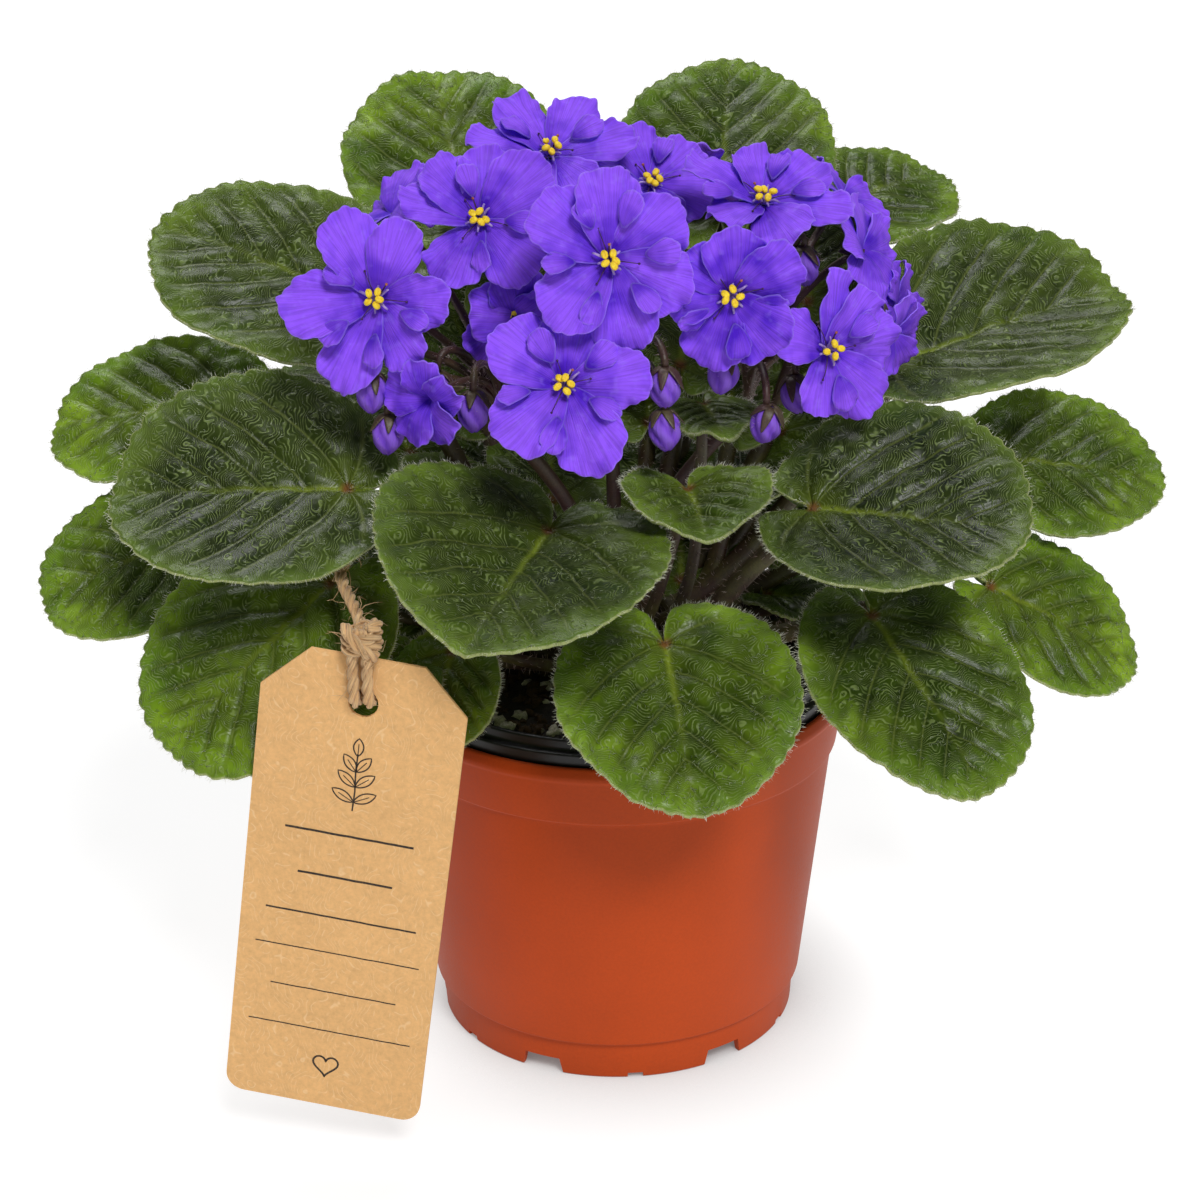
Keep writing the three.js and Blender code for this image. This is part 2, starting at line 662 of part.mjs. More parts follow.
// The doubled loop from the knot down through the tag's hole and up behind it, and the knot.
function knot() {
  const hole = new THREE.Vector3(...TAG.holeAt);
  const centre = new THREE.Vector3(...KNOT.centre);
  const yaw = radians(TAG.yaw);
  const toward = new THREE.Vector3(Math.sin(yaw), -Math.cos(yaw), 0);
  const sideways = new THREE.Vector3(Math.cos(yaw), Math.sin(yaw), 0);
  const lump = new THREE.IcosahedronGeometry(KNOT.radius, 1);
  lump.scale(1, KNOT.squash, 1).rotateZ(yaw).translate(...KNOT.centre);
  const pieces = [lump];
  for (const tilt of KNOT.wraps) {
    const wrap = new THREE.TorusGeometry(KNOT.wrapRadius, TWINE.radius, KNOT.wrapSides, KNOT.wrapSteps);
    wrap.rotateY(radians(tilt)).rotateZ(yaw);
    pieces.push(wrap.translate(...KNOT.centre));
  }
  for (const side of [-0.5, 0.5]) {
    const across = sideways.clone().multiplyScalar(side * KNOT.strandSpacing);
    const clear = TAG.thickness / 2 + KNOT.strandRadius + 2 * GAP;
    const low = hole.clone().add(across);
    const front = low.clone().addScaledVector(toward, clear);
    const back = low.clone().addScaledVector(toward, -clear);
    const path = new THREE.CatmullRomCurve3([
      centre.clone().add(across).addScaledVector(toward, clear),
      front.clone().setZ(hole.z + TAG.holeBelowTop),
      front.clone().setZ(hole.z + KNOT.holeHeight + 1),
      low.clone().setZ(hole.z + KNOT.holeHeight),
      back.clone().setZ(hole.z + KNOT.holeHeight + 1),
      back.clone().setZ(hole.z + TAG.holeBelowTop),
      centre.clone().add(across).addScaledVector(toward, -clear),
    ]);
    pieces.push(tube(path, KNOT.strandRadius, KNOT.strandSides, KNOT.strandSteps));
  }
  return meshOf('twine_knot', joined(pieces), COLOURS.twine, 0.95);
}

function twine() {
  const path = new THREE.CatmullRomCurve3(TWINE_ROUTE.map((point) => new THREE.Vector3(...point)));
  const strand = tube(path, TWINE.radius, TWINE.sides, TWINE.steps);
  return meshOf('twine', strand, COLOURS.twine, 0.95);
}

function hungTag() {
  const holder = new THREE.Group();
  holder.position.set(...TAG.holeAt);
  holder.rotation.set(Math.PI / 2, 0, radians(TAG.yaw), 'ZYX');
  holder.add(tag());
  return holder;
}

const group = new THREE.Group();
group.add(pot(), innerPot(), pottingMix(), crown());
for (const spec of LEAVES) {
  group.add(leaf(spec));
}
let number = 0;
for (const spec of SPRAYS) {
  group.add(spray(spec));
  for (const flower of spec.blooms) {
    number += 1;
    const label = String(number).padStart(2, '0');
    group.add(bloom(`bloom_${label}`, flower));
    if (flower.open) {
      group.add(stamens(`stamens_${label}`, flower));
    }
  }
}
group.add(hungTag(), twine(), knot());

export default group;
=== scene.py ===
"""Dresses a packed african violet: leaves, blooms, pot, soil, card tag and jute twine."""

import math
import random

import bmesh
import bpy
import numpy as np
from bpy.props import FloatProperty, FloatVectorProperty, IntProperty, PointerProperty
from mathutils import Matrix, Vector, noise


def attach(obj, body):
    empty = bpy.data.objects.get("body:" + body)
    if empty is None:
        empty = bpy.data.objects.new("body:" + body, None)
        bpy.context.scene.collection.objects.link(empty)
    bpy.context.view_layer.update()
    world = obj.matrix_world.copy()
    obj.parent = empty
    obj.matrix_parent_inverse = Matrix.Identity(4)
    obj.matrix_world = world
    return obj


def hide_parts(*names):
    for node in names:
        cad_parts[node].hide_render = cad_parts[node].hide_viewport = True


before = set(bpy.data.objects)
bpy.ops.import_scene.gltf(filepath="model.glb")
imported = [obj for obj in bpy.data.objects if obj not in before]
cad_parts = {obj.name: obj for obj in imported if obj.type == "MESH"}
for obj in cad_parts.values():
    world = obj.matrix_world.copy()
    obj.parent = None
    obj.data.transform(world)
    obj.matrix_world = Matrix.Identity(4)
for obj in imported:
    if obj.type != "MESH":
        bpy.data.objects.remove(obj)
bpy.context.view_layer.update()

bl_info = {
    "name": "Potted African Violet",
    "version": (1, 0, 0),
    "blender": (4, 5, 0),
    "location": "3D Viewport > Sidebar > Violet",
    "description": "Builds a flowering african violet in its nursery pot, with a card tag on twine",
    "category": "Add Mesh",
}

# Lengths here are millimetres and angles degrees, as in the frame's own source. Meshes are
# built in millimetres and scaled to metres when a piece is finished. The front is -Y.
MM = 0.001

# Heights on the crown where leaf stalks join it, from the oldest leaves up.
LOW, MIDDLE, HIGH = 88.6, 93.2, 97.8

# name, where the stalk meets the blade, heading pitch roll, length and width, fold, droop, azimuth
# and height of the root, and how young and bright the leaf's green is; that brightness is set leaf
# by leaf, partly as painted light for how brightly each leaf is lit.
LEAVES = [
    ("back_left", (-33, 38, 179), (105, 40, -8), (48, 53), 0, 4, (131, HIGH), 0.95),
    ("back_right", (25, 38, 180), (85, 40, 0), (48, 53), 0, 4, (68, HIGH), 0.6),
    ("upper_left", (-52.5, 8, 167), (163, 20, -25), (55, 55.5), 2, 4, (172, HIGH), 0.2),
    ("upper_right", (62, 5, 154.2), (16, 15, 18), (56, 62), 16, 1, (5, HIGH), 0.2),
    ("left", (-56, -35, 140), (185, 2, -34), (50, 56), 10, 2, (-148, MIDDLE), 0.05),
    ("right", (41, -38, 136), (-18, 0, 25), (46, 56), 14, 0, (-43, MIDDLE), 0.0),
    ("front", (-14, -42, 133), (-110, -10, -13), (50, 61), 22, 0, (-108, MIDDLE), 0.25),
    ("front_small", (15, -36, 140), (-80, -8, 0), (21, 32), 22, 2, (-72, HIGH), 0.25),
    ("front_low", (10, -46, 109), (-81, -28, 0), (42, 52), 14, 6, (-78, LOW), 0.75),
    ("right_low", (54, -40, 112.5), (-61, -27, 6), (48, 47.5), 3, 4, (-37, LOW), 0.55),
    ("left_low", (-60.5, -37, 119.5), (214, -33, -23), (50.3, 54.2), 0, 4, (-150, LOW), 1.0),
    ("behind_tag", (-35, -40, 105), (248, -44, 0), (22, 27), 0, 4, (-126, LOW), 0.7),
    ("far_left", (-86, 14, 143.4), (176, -5, -32), (44, 43.5), 0, 4, (171, MIDDLE), 0.95),
    ("far_left_low", (-87, -10, 122), (188, -15, -30), (44, 43.5), 0, 4, (-175, LOW), 0.85),
    ("far_right", (88, 20, 126.8), (-4, -4, 33), (39.5, 43), 2, 4, (13, MIDDLE), 0.72),
    ("far_right_low", (84, -8, 106), (-4, -26, 30), (39.5, 40.3), 4, 5, (-5, LOW), 0.95),
    ("back_right_small", (52, 45, 178), (39, 17, 18), (34, 39), 2, 5, (36, HIGH), 0.5),
    ("inner_small", (19, -15, 152), (-79, 0, 0), (17, 20), 2, 3, (-36, HIGH), 0.2),
    ("rear_middle", (-8, 50, 140), (98, 20, 0), (44, 48), 5, 4, (102, MIDDLE), 0.3),
    ("rear_right", (44, 46, 138), (48, 8, 0), (44, 46), 4, 4, (45, MIDDLE), 0.35),
    ("rear_left", (-48, 44, 134), (138, 5, 0), (44, 46), 4, 4, (139, MIDDLE), 0.35),
    ("rear_low", (4, 50, 112), (86, -12, 0), (40, 44), 4, 4, (86, LOW), 0.7),
]
LOBE_RADIUS, LOBE_CENTRE = 0.62, 0.38  # the blade's disc, in blade lengths from the stalk
NOTCH_DEPTH, NOTCH_WIDTH = 0.9, 14
BLADE_SPOKES, BLADE_RINGS, TEETH = 216, 22, 42
VEIN_PAIRS = 4.8  # side veins along the midrib on each side
STALK_RADIUS, SMALL_STALK_RADIUS, SMALL_LENGTH = 2.1, 1.3, 25
STALK_STEPS, RIB_STEPS, PEDICEL_STEPS, STEM_STEPS = 22, 6, 18, 20
CROWN_RADIUS, CROWN_TOP = 10.3, 104.3  # where leaf stalks and flower stalks join the crown
STEM_RISE = 18  # how far a flower stalk stands straight up before it leans
PETALS = 5
FULL_BLOOM = 34  # the diameter from which a bloom is ruffled in full
BUD_RADIUS, BUD_HALF_HEIGHT = 3.3, 4.1

# Each spray: where its stalk leaves the crown and branches, its blooms and its buds. A bloom
# has its throat's place, the azimuth and elevation it faces, its diameter and its spin.
SPRAYS = [
    ("left", (-5, -2), (-24, -14, 146), [
        ("01", (-48, -34, 180), (-100, 20), 36, 8, True),
        ("02", (-27, -26, 194), (-100, 30), 33, -12, True),
        ("03", (-21, -22, 174), (-85, -5), 25, 20, True),
        ("04", (-37, -39, 161), (-120, -5), 22, 0, False),
        ("05", (-47, -2, 190), (-170, 50), 28, 30, False),
        ("06", (-30, 22, 188), (120, 50), 30, 15, False),
    ], [(-50, -36, 161), (-47, -36, 152), (-29, -40, 158), (-37, -26, 158)]),
    ("middle", (0, 4), (-1, -4, 152), [
        ("07", (-13, -8, 203), (-90, 60), 36, 15, True),
        ("08", (8, 0, 195), (-80, 45), 28, -10, True),
        ("09", (-1, -46, 191), (-90, 15), 35, -6, True),
        ("10", (-10, -52, 167), (-90, 25), 34, 22, True),
        ("11", (18, 28, 190), (70, 50), 30, 0, False),
    ], [(10, -44, 164), (10, -44, 155)]),
    ("right", (5, -2), (29, -8, 148), [
        ("12", (31, -18, 195), (-85, 60), 36, -18, True),
        ("13", (23, -42, 183), (-85, 3), 30, 10, True),
        ("14", (43, -32, 168), (-58, 12), 32, -8, True),
        ("15", (51, 17, 188), (-20, 50), 24, 12, False),
        ("16", (53, -6, 182), (-28, 25), 25, 40, False),
        ("17", (61.5, 3, 167.5), (-30, 8), 21, 5, False),
        ("18", (59, -14, 166), (-40, -10), 20, -20, False),
    ], [(22, -38, 165), (31, -38, 154), (38, -24, 156), (40, -14, 181)]),
]

# Petals as direction, length and width, small inner lobes as direction and radius, how deep
# the violet is and how much the petals cup. A bloom that isn't here has five even petals.
SHAPES = {
    "01": ([(118, 19.8, 13), (72, 17.4, 11.5), (0, 15.8, 12), (-57, 15.5, 13), (-112, 20.5, 13.5),
            (-171, 20.5, 14)], [(-138, 11), (-87, 11), (-25, 9.5), (150, 9)], 0.1, 1.0),
    "02": ([(90, 16, 12), (46, 17.9, 14.5), (-41, 16.6, 14), (-117, 15.7, 14), (166, 17.9, 10),
            (133, 16.6, 12)], [(-80, 8.5), (-4, 9.5), (110, 8.5)], 0.15, 1.0),
    "03": ([(90, 12, 13), (20, 12.5, 13.5), (-50, 13, 13), (-125, 13, 14), (160, 12.5, 13)],
           [], 1.0, 3.2),
    "04": ([(95, 10, 9), (30, 10.5, 9), (-40, 11, 10), (-110, 11, 10), (170, 10.5, 10)],
           [], 0.9, 2.6),
    "07": ([(123, 19, 12), (66, 18.5, 12), (18, 19, 10), (162, 18.5, 11), (-62, 16, 13),
            (-120, 15, 13)], [(142, 9.5), (35, 9.5)], 0.0, 0.8),
    "08": ([(100, 15, 14), (35, 14.5, 13), (-25, 13.5, 13), (-85, 12.5, 12), (-145, 12.5, 12),
            (160, 13.5, 11)], [(65, 8)], 0.05, 0.8),
    "09": ([(92, 18.5, 14), (36, 17.7, 14), (-22, 17.5, 14.5), (-76, 18.5, 14.5), (-133, 17.7, 15),
            (141, 18.8, 15)],
           [(119, 10.3), (67, 10.9), (-176, 10.4), (-111, 10.3), (-48, 10.4), (8, 11)], 0.1, 0.9),
    "10": ([(79, 16.5, 14.5), (8, 17.3, 13), (-66, 19.5, 15), (-136, 18, 15), (142, 17.8, 15)],
           [(119, 8.9), (38, 9.2), (-168, 10.6), (-33, 9.5), (-103, 10.8)], 0.1, 0.9),
    "12": ([(90, 15.5, 12), (41, 17.5, 14), (-12, 19, 9), (-70, 14, 14), (-150, 13, 12),
            (144, 19.2, 10)], [(173, 10), (5, 9.5), (65, 9.5)], 0.1, 0.8),
    "13": ([(90, 13.5, 13.5), (27, 15.8, 14.5), (-50, 15.5, 15), (-108, 15.8, 13.5),
            (177, 14, 12.5), (135, 12.5, 10)], [(-12, 8.5), (-84, 9.7), (-152, 9)], 1.05, 1.8),
    "14": ([(71, 17, 10), (38, 16.2, 12), (2, 18.3, 14), (-54, 17.5, 13.5), (-104, 14, 10),
            (153, 13, 12)], [(24, 9), (-80, 9.5)], 0.15, 1.0),
}

# Leaves too young to reach the light, in the middle of the crown between the stalks.
YOUNG_LEAVES = [
    ("young_1", (-28, 22, 136), (100, 38, 0), (26, 30), 4, 3, (118, HIGH), 0.3),
    ("young_2", (8, 26, 134), (88, 42, 0), (28, 32), 4, 3, (80, HIGH), 0.25),
    ("young_3", (38, 18, 134), (58, 36, 0), (27, 30), 4, 3, (25, HIGH), 0.3),
    ("young_4", (-46, 12, 132), (120, 30, 0), (24, 28), 3, 3, (150, HIGH), 0.4),
    ("young_5", (24, 4, 122), (40, 34, 0), (25, 28), 3, 3, (12, HIGH), 0.2),
    ("young_6", (-26, -4, 124), (160, 30, 0), (24, 27), 3, 3, (186, HIGH), 0.2),
    ("young_7", (36, 22, 150), (44, 50, 0), (29, 33), 4, 3, (30, HIGH), 0.3),
    ("young_8", (-30, 20, 148), (125, 48, 0), (28, 31), 4, 3, (140, HIGH), 0.3),
    ("young_9", (5, 14, 116), (72, 36, 0), (26, 33), 4, 3, (62, MIDDLE), 0.15),
    ("young_10", (-24, 15, 119), (122, 35, 0), (26, 31), 4, 3, (112, MIDDLE), 0.15),
    ("young_11", (-9, 12, 108), (94, 35, 0), (24, 30), 4, 3, (92, MIDDLE), 0.15),
    ("young_12", (35, 7, 99), (-8, -4, 0), (26, 31), 4, 3, (4, LOW), 0.3),
    ("young_13", (-30, 2, 96), (176, -10, 0), (27, 29), 4, 3, (176, LOW), 0.3),
    ("young_14", (-45, -38, 103), (236, -42, -10), (20, 24), 3, 3, (-136, LOW), 0.5),
    ("young_15", (-14, 20, 150), (100, 58, 0), (33, 38), 4, 3, (104, HIGH), 0.3),
    ("young_16", (15, 18, 150), (76, 58, 0), (32, 38), 4, 3, (70, HIGH), 0.3),
    ("young_17", (40, 12, 108), (78, 45, 0), (25, 29), 4, 3, (30, MIDDLE), 0.15),
    ("young_18", (-56, 2, 103), (100, 42, 0), (24, 28), 4, 3, (170, LOW), 0.2),
    ("young_19", (15, 5, 103), (88, 45, 0), (24, 28), 4, 3, (50, LOW), 0.1),
    ("young_20", (-49, -2, 91), (100, 38, 0), (22, 26), 4, 3, (182, LOW), 0.2),
    ("young_21", (26, 10, 138), (84, 50, 0), (26, 30), 4, 3, (40, HIGH), 0.2),
    ("young_22", (-14, 10, 121), (94, 50, 0), (26, 30), 4, 3, (120, MIDDLE), 0.1),
    ("young_23", (43, 13, 166), (72, 60, 0), (25, 30), 4, 3, (28, HIGH), 0.3),
]

TAG_HOLE = (-51, -71.5, 107.2)
TAG_YAW, TAG_LEAN, TAG_THICKNESS = -8, -8, 0.8
PRINT_HEIGHT = 0.03  # how far the ink stands off the card
KNOT_CENTRE = (-50.8, -72.2, 121.4)
STRAND_GAP, STRAND_CLEAR = 1.45, 2.25  # the loop's two strands, off the hole and off the card
PLIES, PLY_SIDES = 3, 8
PLY_OFFSET, PLY_FILL = 1.155, 2.155  # three round plies that touch, in ply radii

SOIL_RADIUS, SOIL_LEVEL = 46.2, 85
FOOT_RING = 40.5  # the middle of the pot's foot ring
DRAINS, DRAIN_CIRCLE = 4, 24

# The strand from over the stalk of the left leaf, round it and down to the knot.
TWINE_ROUTE = [
    (-44, -33.5, 133.5), (-45.1, -35.6, 134.2), (-46.5, -37.5, 134.5), (-48.7, -38.9, 133.5),
    (-51, -40, 132), (-53.2, -40.9, 130.2), (-55, -42, 128.5), (-56.3, -43.8, 127.2),
    (-57, -46, 126.2), (-56.8, -48.9, 125.4), (-56, -52, 124.8), (-55.1, -55, 124.3),
    (-54, -58, 123.8), (-52.9, -61.2, 123.1), (-52, -64, 122.4), (-51.5, -66.8, 121.8),
]


def linear(colour):
    """sRGB hex to linear RGBA."""
    shares = [((colour >> shift) & 255) / 255 for shift in (16, 8, 0)]
    return (*(s / 12.92 if s <= 0.04045 else ((s + 0.055) / 1.055) ** 2.4 for s in shares), 1.0)


# Properties


def colour_property(name, colour, description):
    return FloatVectorProperty(name=name, description=description, default=linear(colour),
                               subtype="COLOR", size=4, min=0, max=1)


def length_property(name, millimetres, description):
    return FloatProperty(name=name, description=description, default=millimetres * MM,
                         unit="LENGTH", subtype="DISTANCE", min=0)


def angle_property(name, degrees, description):
    return FloatProperty(name=name, description=description, default=math.radians(degrees),
                         subtype="ANGLE")


def strength_property(name, strength, description):
    return FloatProperty(name=name, description=description, default=strength, min=0)


def count_property(name, count, description):
    return IntProperty(name=name, description=description, default=count, min=0)


class VioletStudio(bpy.types.PropertyGroup):
    distance: length_property("Camera distance", 590, "From the camera to the middle of the view")
    elevation: angle_property("Elevation", 22, "How far the camera looks down")
    roll: angle_property("Roll", -0.5, "Turn of the camera about its own line of sight")
    lens: FloatProperty(name="Lens", description="Focal length for a 36 mm sensor", default=78,
                        unit="CAMERA")
    floor: colour_property("Floor", 0x9A9A9A, "Colour of the floor under its own light")
    glow: strength_property("Glow", 0.8, "Light that the floor gives by itself")
    key: strength_property("Key", 2.3, "Strength of the soft light from the front")
    back: strength_property("Back", 1.25, "Strength of the light from above and behind")
    sky: strength_property("Sky", 0.12, "Strength of the light from all round")


class VioletPot(bpy.types.PropertyGroup):
    radius: length_property("Radius", 52.5, "Radius of the pot at its crest")
    height: length_property("Height", 82, "Height of the outer pot")
    clay: colour_property("Clay brown", 0xB44414, "Colour of the outer pot's plastic")
    black: colour_property("Black", 0x191A1B, "Colour of the inner pot's plastic")


class VioletSoil(bpy.types.PropertyGroup):
    perlite: count_property("Perlite", 150, "How many white grains lie on the soil")
    crumbs: count_property("Crumbs", 520, "How many crumbs of peat lie on the soil")
    peat: colour_property("Peat", 0x2C2014, "Colour of the damp peat")


class VioletLeaves(bpy.types.PropertyGroup):
    thickness: length_property("Thickness", 0.75, "Thickness of a blade")
    quilt: length_property("Quilting", 1.2, "Height of the swellings between the side veins")
    hair: length_property("Hair", 1.1, "Length of a hair on a blade")
    density: strength_property("Hair density", 0.38, "Hairs on each square millimetre")
    dark: colour_property("Dark green", 0x354416, "Green of the older blades")
    bright: colour_property("Bright green", 0x67841A, "Green of the outer, lower blades")
    stalk: colour_property("Stalk brown", 0x3A221A, "Brown of the leaf stalks")


class VioletBlooms(bpy.types.PropertyGroup):
    thickness: length_property("Petal thickness", 0.28, "Thickness of a petal")
    ruffle: length_property("Ruffle", 0.95, "Height of the waves along a petal's edge")
    petal: colour_property("Petal", 0x9154FB, "Violet blue of the petals")
    deep: colour_property("Throat", 0x4A12C8, "Deep violet toward the throat")
    anther: colour_property("Anther", 0xFBE02A, "Yellow of the anthers")
    stalk: colour_property("Stalk", 0x3E1E22, "Maroon of the flower stalks")


class VioletTag(bpy.types.PropertyGroup):
    card: colour_property("Card", 0xDDAD73, "Colour of the kraft card")
    ink: colour_property("Ink", 0x2A2019, "Colour of the printed lines")
    stroke: length_property("Stroke", 0.34, "Width of a printed line")


class VioletTwine(bpy.types.PropertyGroup):
    diameter: length_property("Diameter", 2.6, "Thickness of the twine")
    pitch: length_property("Pitch", 9, "Length of one turn of the plies")
    jute: colour_property("Jute", 0xC79A66, "Colour of the jute")
    fibres: count_property("Fibres", 104, "How many loose fibres stand off the twine")


# Mesh tools


def along(points, radii):
    """A matrix at each point of a path: its own Z along the path, its size the radius there."""
    points = [Vector(p) for p in points]
    ahead = [(b - a).normalized() for a, b in zip(points, points[1:])]
    tangents = [ahead[0]] + [(a + b).normalized() for a, b in zip(ahead, ahead[1:])] + [ahead[-1]]
    side = tangents[0].orthogonal().normalized()
    places = []
    for point, tangent, radius in zip(points, tangents, radii):
        side = (side - tangent * side.dot(tangent)).normalized()
        turn = Matrix((side, tangent.cross(side), tangent)).transposed().to_4x4()
        places.append(Matrix.Translation(point) @ turn @ Matrix.Scale(radius, 4))
    return places


def extruded(bm, edges):
    """Extrudes edges. Gives the vertices and edges of the new row, and the faces up to it."""
    grown = bmesh.ops.extrude_edge_only(bm, edges=edges)["geom"]
    ends, lines, faces = ([g for g in grown if isinstance(g, kind)] for kind in (
        bmesh.types.BMVert, bmesh.types.BMEdge, bmesh.types.BMFace))
    there = set(ends)
    return ends, [line for line in lines if there.issuperset(line.verts)], faces


def tube(bm, points, radii, sides=8, slot=0):
    """A closed round tube: a circle extruded ring by ring along a path."""
    places = along(points, radii)
    ring = bmesh.ops.create_circle(bm, segments=sides, radius=1, matrix=places[0])["verts"]
    edges = list(dict.fromkeys(e for v in ring for e in v.link_edges))
    faces = list(bmesh.ops.contextual_create(bm, geom=edges)["faces"])
    for before, after in zip(places, places[1:]):
        ring, edges, grown = extruded(bm, edges)
        faces += grown
        bmesh.ops.transform(bm, matrix=after @ before.inverted(), verts=ring)
    faces += bmesh.ops.contextual_create(bm, geom=edges)["faces"]
    bmesh.ops.recalc_face_normals(bm, faces=faces)
    for face in faces:
        face.material_index = slot
    return faces


def bezier(a, b, c, d, steps):
    """Points on a cubic curve, ends included."""
    a, b, c, d = (Vector(p) for p in (a, b, c, d))
    shares = [i / steps for i in range(steps + 1)]
    return [a * (1 - t) ** 3 + b * 3 * t * (1 - t) ** 2 + c * 3 * t * t * (1 - t) + d * t ** 3
            for t in shares]


def through(points, step):
    """A smooth line through points, about one step between its own points."""
    points = [Vector(p) for p in points]
    ends = [points[0] * 2 - points[1]] + points + [points[-1] * 2 - points[-2]]
    line = []
    for a, b, c, d in zip(ends, ends[1:], ends[2:], ends[3:]):
        count = max(2, round((c - b).length / step))
        for t in (i / count for i in range(count)):
            line.append(((b * 2) + (c - a) * t + (a * 2 - b * 5 + c * 4 - d) * t * t
                         + (b * 3 - a - c * 3 + d) * t ** 3) / 2)
    return line + [points[-1]]


def as_mesh(name, bm):
    """Makes a bmesh a mesh and frees it."""
    mesh = bpy.data.meshes.new(name)
    bm.to_mesh(mesh)
    bm.free()
    return mesh


def placed(name, data):
    """A new object in the scene for a mesh, a lamp or a camera."""
    made = bpy.data.objects.new(name, data)
    bpy.context.scene.collection.objects.link(made)
    return made


def add_part(bm, part, matrix=None):
    """Moves a bmesh by a matrix and adds it to another."""
    if matrix is not None:
        bmesh.ops.transform(part, matrix=matrix, verts=part.verts[:])
    mesh = as_mesh("part", part)
    bm.from_mesh(mesh)
    bpy.data.meshes.remove(mesh)


def by_index(part):
    """The vertices of a face or an edge, in the order of their indices."""
    return sorted(part.verts, key=lambda vertex: vertex.index)


def spun(profile, steps):
    """A line of radius and height points spun all the way round Z. The operator gives edges and
    faces in another order at each run, so they are put in the order of their vertices."""
    bm = bmesh.new()
    line = [bm.verts.new((radius, 0, height)) for radius, height in profile]
    edges = [bm.edges.new(pair) for pair in zip(line, line[1:])]
    bmesh.ops.spin(bm, geom=line + edges, cent=(0, 0, 0), axis=(0, 0, 1), angle=2 * math.pi,
                   steps=steps, use_merge=True, use_duplicate=False)
    bmesh.ops.remove_doubles(bm, verts=bm.verts[:], dist=1e-5)
    bm.verts.index_update()
    for row in (bm.edges, bm.faces):
        row.sort(key=lambda part: sum(
            vertex.index * 1e5 ** (2 - i) for i, vertex in enumerate(by_index(part)[:3])))
    return bm


def turned(profile, steps):
    """A solid of revolution round Z, from radius and height points."""
    bm = spun(profile, steps)
    bmesh.ops.recalc_face_normals(bm, faces=bm.faces[:])
    return bm


def disc(radii, spokes):
    """A flat sheet of rings and spokes round Z, as a mesh."""
    return as_mesh("disc", spun([(radius, 0) for radius in radii], spokes))


def rings(count, ease=1.0, radius=1.0):
    """Radii from the middle out to a disc's edge, closer together there."""
    return [radius * (1 - (1 - i / count) ** ease) for i in range(count + 1)]


def polar(bm):
    """The distance from the middle and the angle of each vertex of a disc."""
    flat = np.array([v.co for v in bm.verts])
    return np.hypot(flat[:, 0], flat[:, 1]), np.arctan2(flat[:, 1], flat[:, 0])


def written(bm, places, **attributes):
    """Moves the vertices to places and keeps three numbers at each under an attribute's name."""
    layers = {name: bm.verts.layers.float_vector.new(name) for name in attributes}
    bm.verts.ensure_lookup_table()
    for i, vertex in enumerate(bm.verts):
        vertex.co = places[i]
        for name, values in attributes.items():
            vertex[layers[name]] = values[i]


def backed(bm, thickness, slot=0):
    """Closes a sheet into a thin body: a turned copy below it and a strip round the edge. Gives
    the faces of its upper side."""
    front = bm.faces[:]
    made = bmesh.ops.duplicate(bm, geom=front)
    back = [g for g in made["geom"] if isinstance(g, bmesh.types.BMFace)]
    low = [g for g in made["geom"] if isinstance(g, bmesh.types.BMVert)]
    bmesh.ops.reverse_faces(bm, faces=back)
    bmesh.ops.translate(bm, verts=low, vec=(0, 0, -thickness))
    rim = [e for e in bm.edges if e.is_boundary]
    bmesh.ops.bridge_loops(bm, edges=rim)
    bmesh.ops.recalc_face_normals(bm, faces=bm.faces[:])
    for face in back:
        face.material_index = slot
    return front


def rounded(profile, radius, cuts=3):
    """The profile with each of its inner corners eased by an arc of about that radius."""
    points = [Vector(p) for p in profile]
    line = [points[0]]
    for before, corner, after in zip(points, points[1:], points[2:]):
        back, on = before - corner, after - corner
        ease = min(radius, back.length * 0.45, on.length * 0.45)
        start, end = corner + back.normalized() * ease, corner + on.normalized() * ease
        for t in (i / cuts for i in range(cuts + 1)):
            line.append(start * (1 - t) ** 2 + corner * 2 * t * (1 - t) + end * t * t)
    return [tuple(p) for p in line + [points[-1]]]


def without(bm, cutter):
    """The first body less the second, both as bmeshes. It frees them and gives a new one."""
    body, tool = (placed("cutting", as_mesh("cutting", source)) for source in (bm, cutter))
    cut = body.modifiers.new("cut", "BOOLEAN")
    cut.operation, cut.solver, cut.object = "DIFFERENCE", "EXACT", tool
    result = bmesh.new()
    result.from_object(body, bpy.context.evaluated_depsgraph_get())
    for mesh in (body.data, tool.data):
        bpy.data.meshes.remove(mesh)
    return result


def master(points, radii, sides=3):
    """A small mesh that is copied many times."""
    bm = bmesh.new()
    tube(bm, points, radii, sides)
    return as_mesh("master", bm)


def scatter(bm, masters, matrices, dice):
    """Adds a copy of one of the small meshes at each matrix, then frees them."""
    for matrix in matrices:
        copy = dice.choice(masters).copy()
        copy.transform(matrix)
        bm.from_mesh(copy)
        bpy.data.meshes.remove(copy)
    for mesh in masters:
        bpy.data.meshes.remove(mesh)


def any_way(dice):
    """A vector drawn from a cube."""
    return Vector([dice.uniform(-1, 1) for _ in range(3)])


def standing(point, normal, ahead, size):
    """A matrix at a point with Z along normal, X as near ahead as it can be, and a size."""
    ahead = (ahead - normal * ahead.dot(normal)).normalized()
    turn = Matrix((ahead, normal.cross(ahead), normal)).transposed().to_4x4()
    return Matrix.Translation(point) @ turn @ Matrix.Scale(size, 4)


def stalk_hair(before, point, radius, sizes, dice):
    """The place of a hair that stands off a stalk, between two points of its line."""
    ahead = (point - before).normalized()
    out = ahead.cross(any_way(dice)).normalized()
    root = before.lerp(point, dice.random()) + out * radius
    return standing(root, out, ahead, dice.uniform(*sizes))


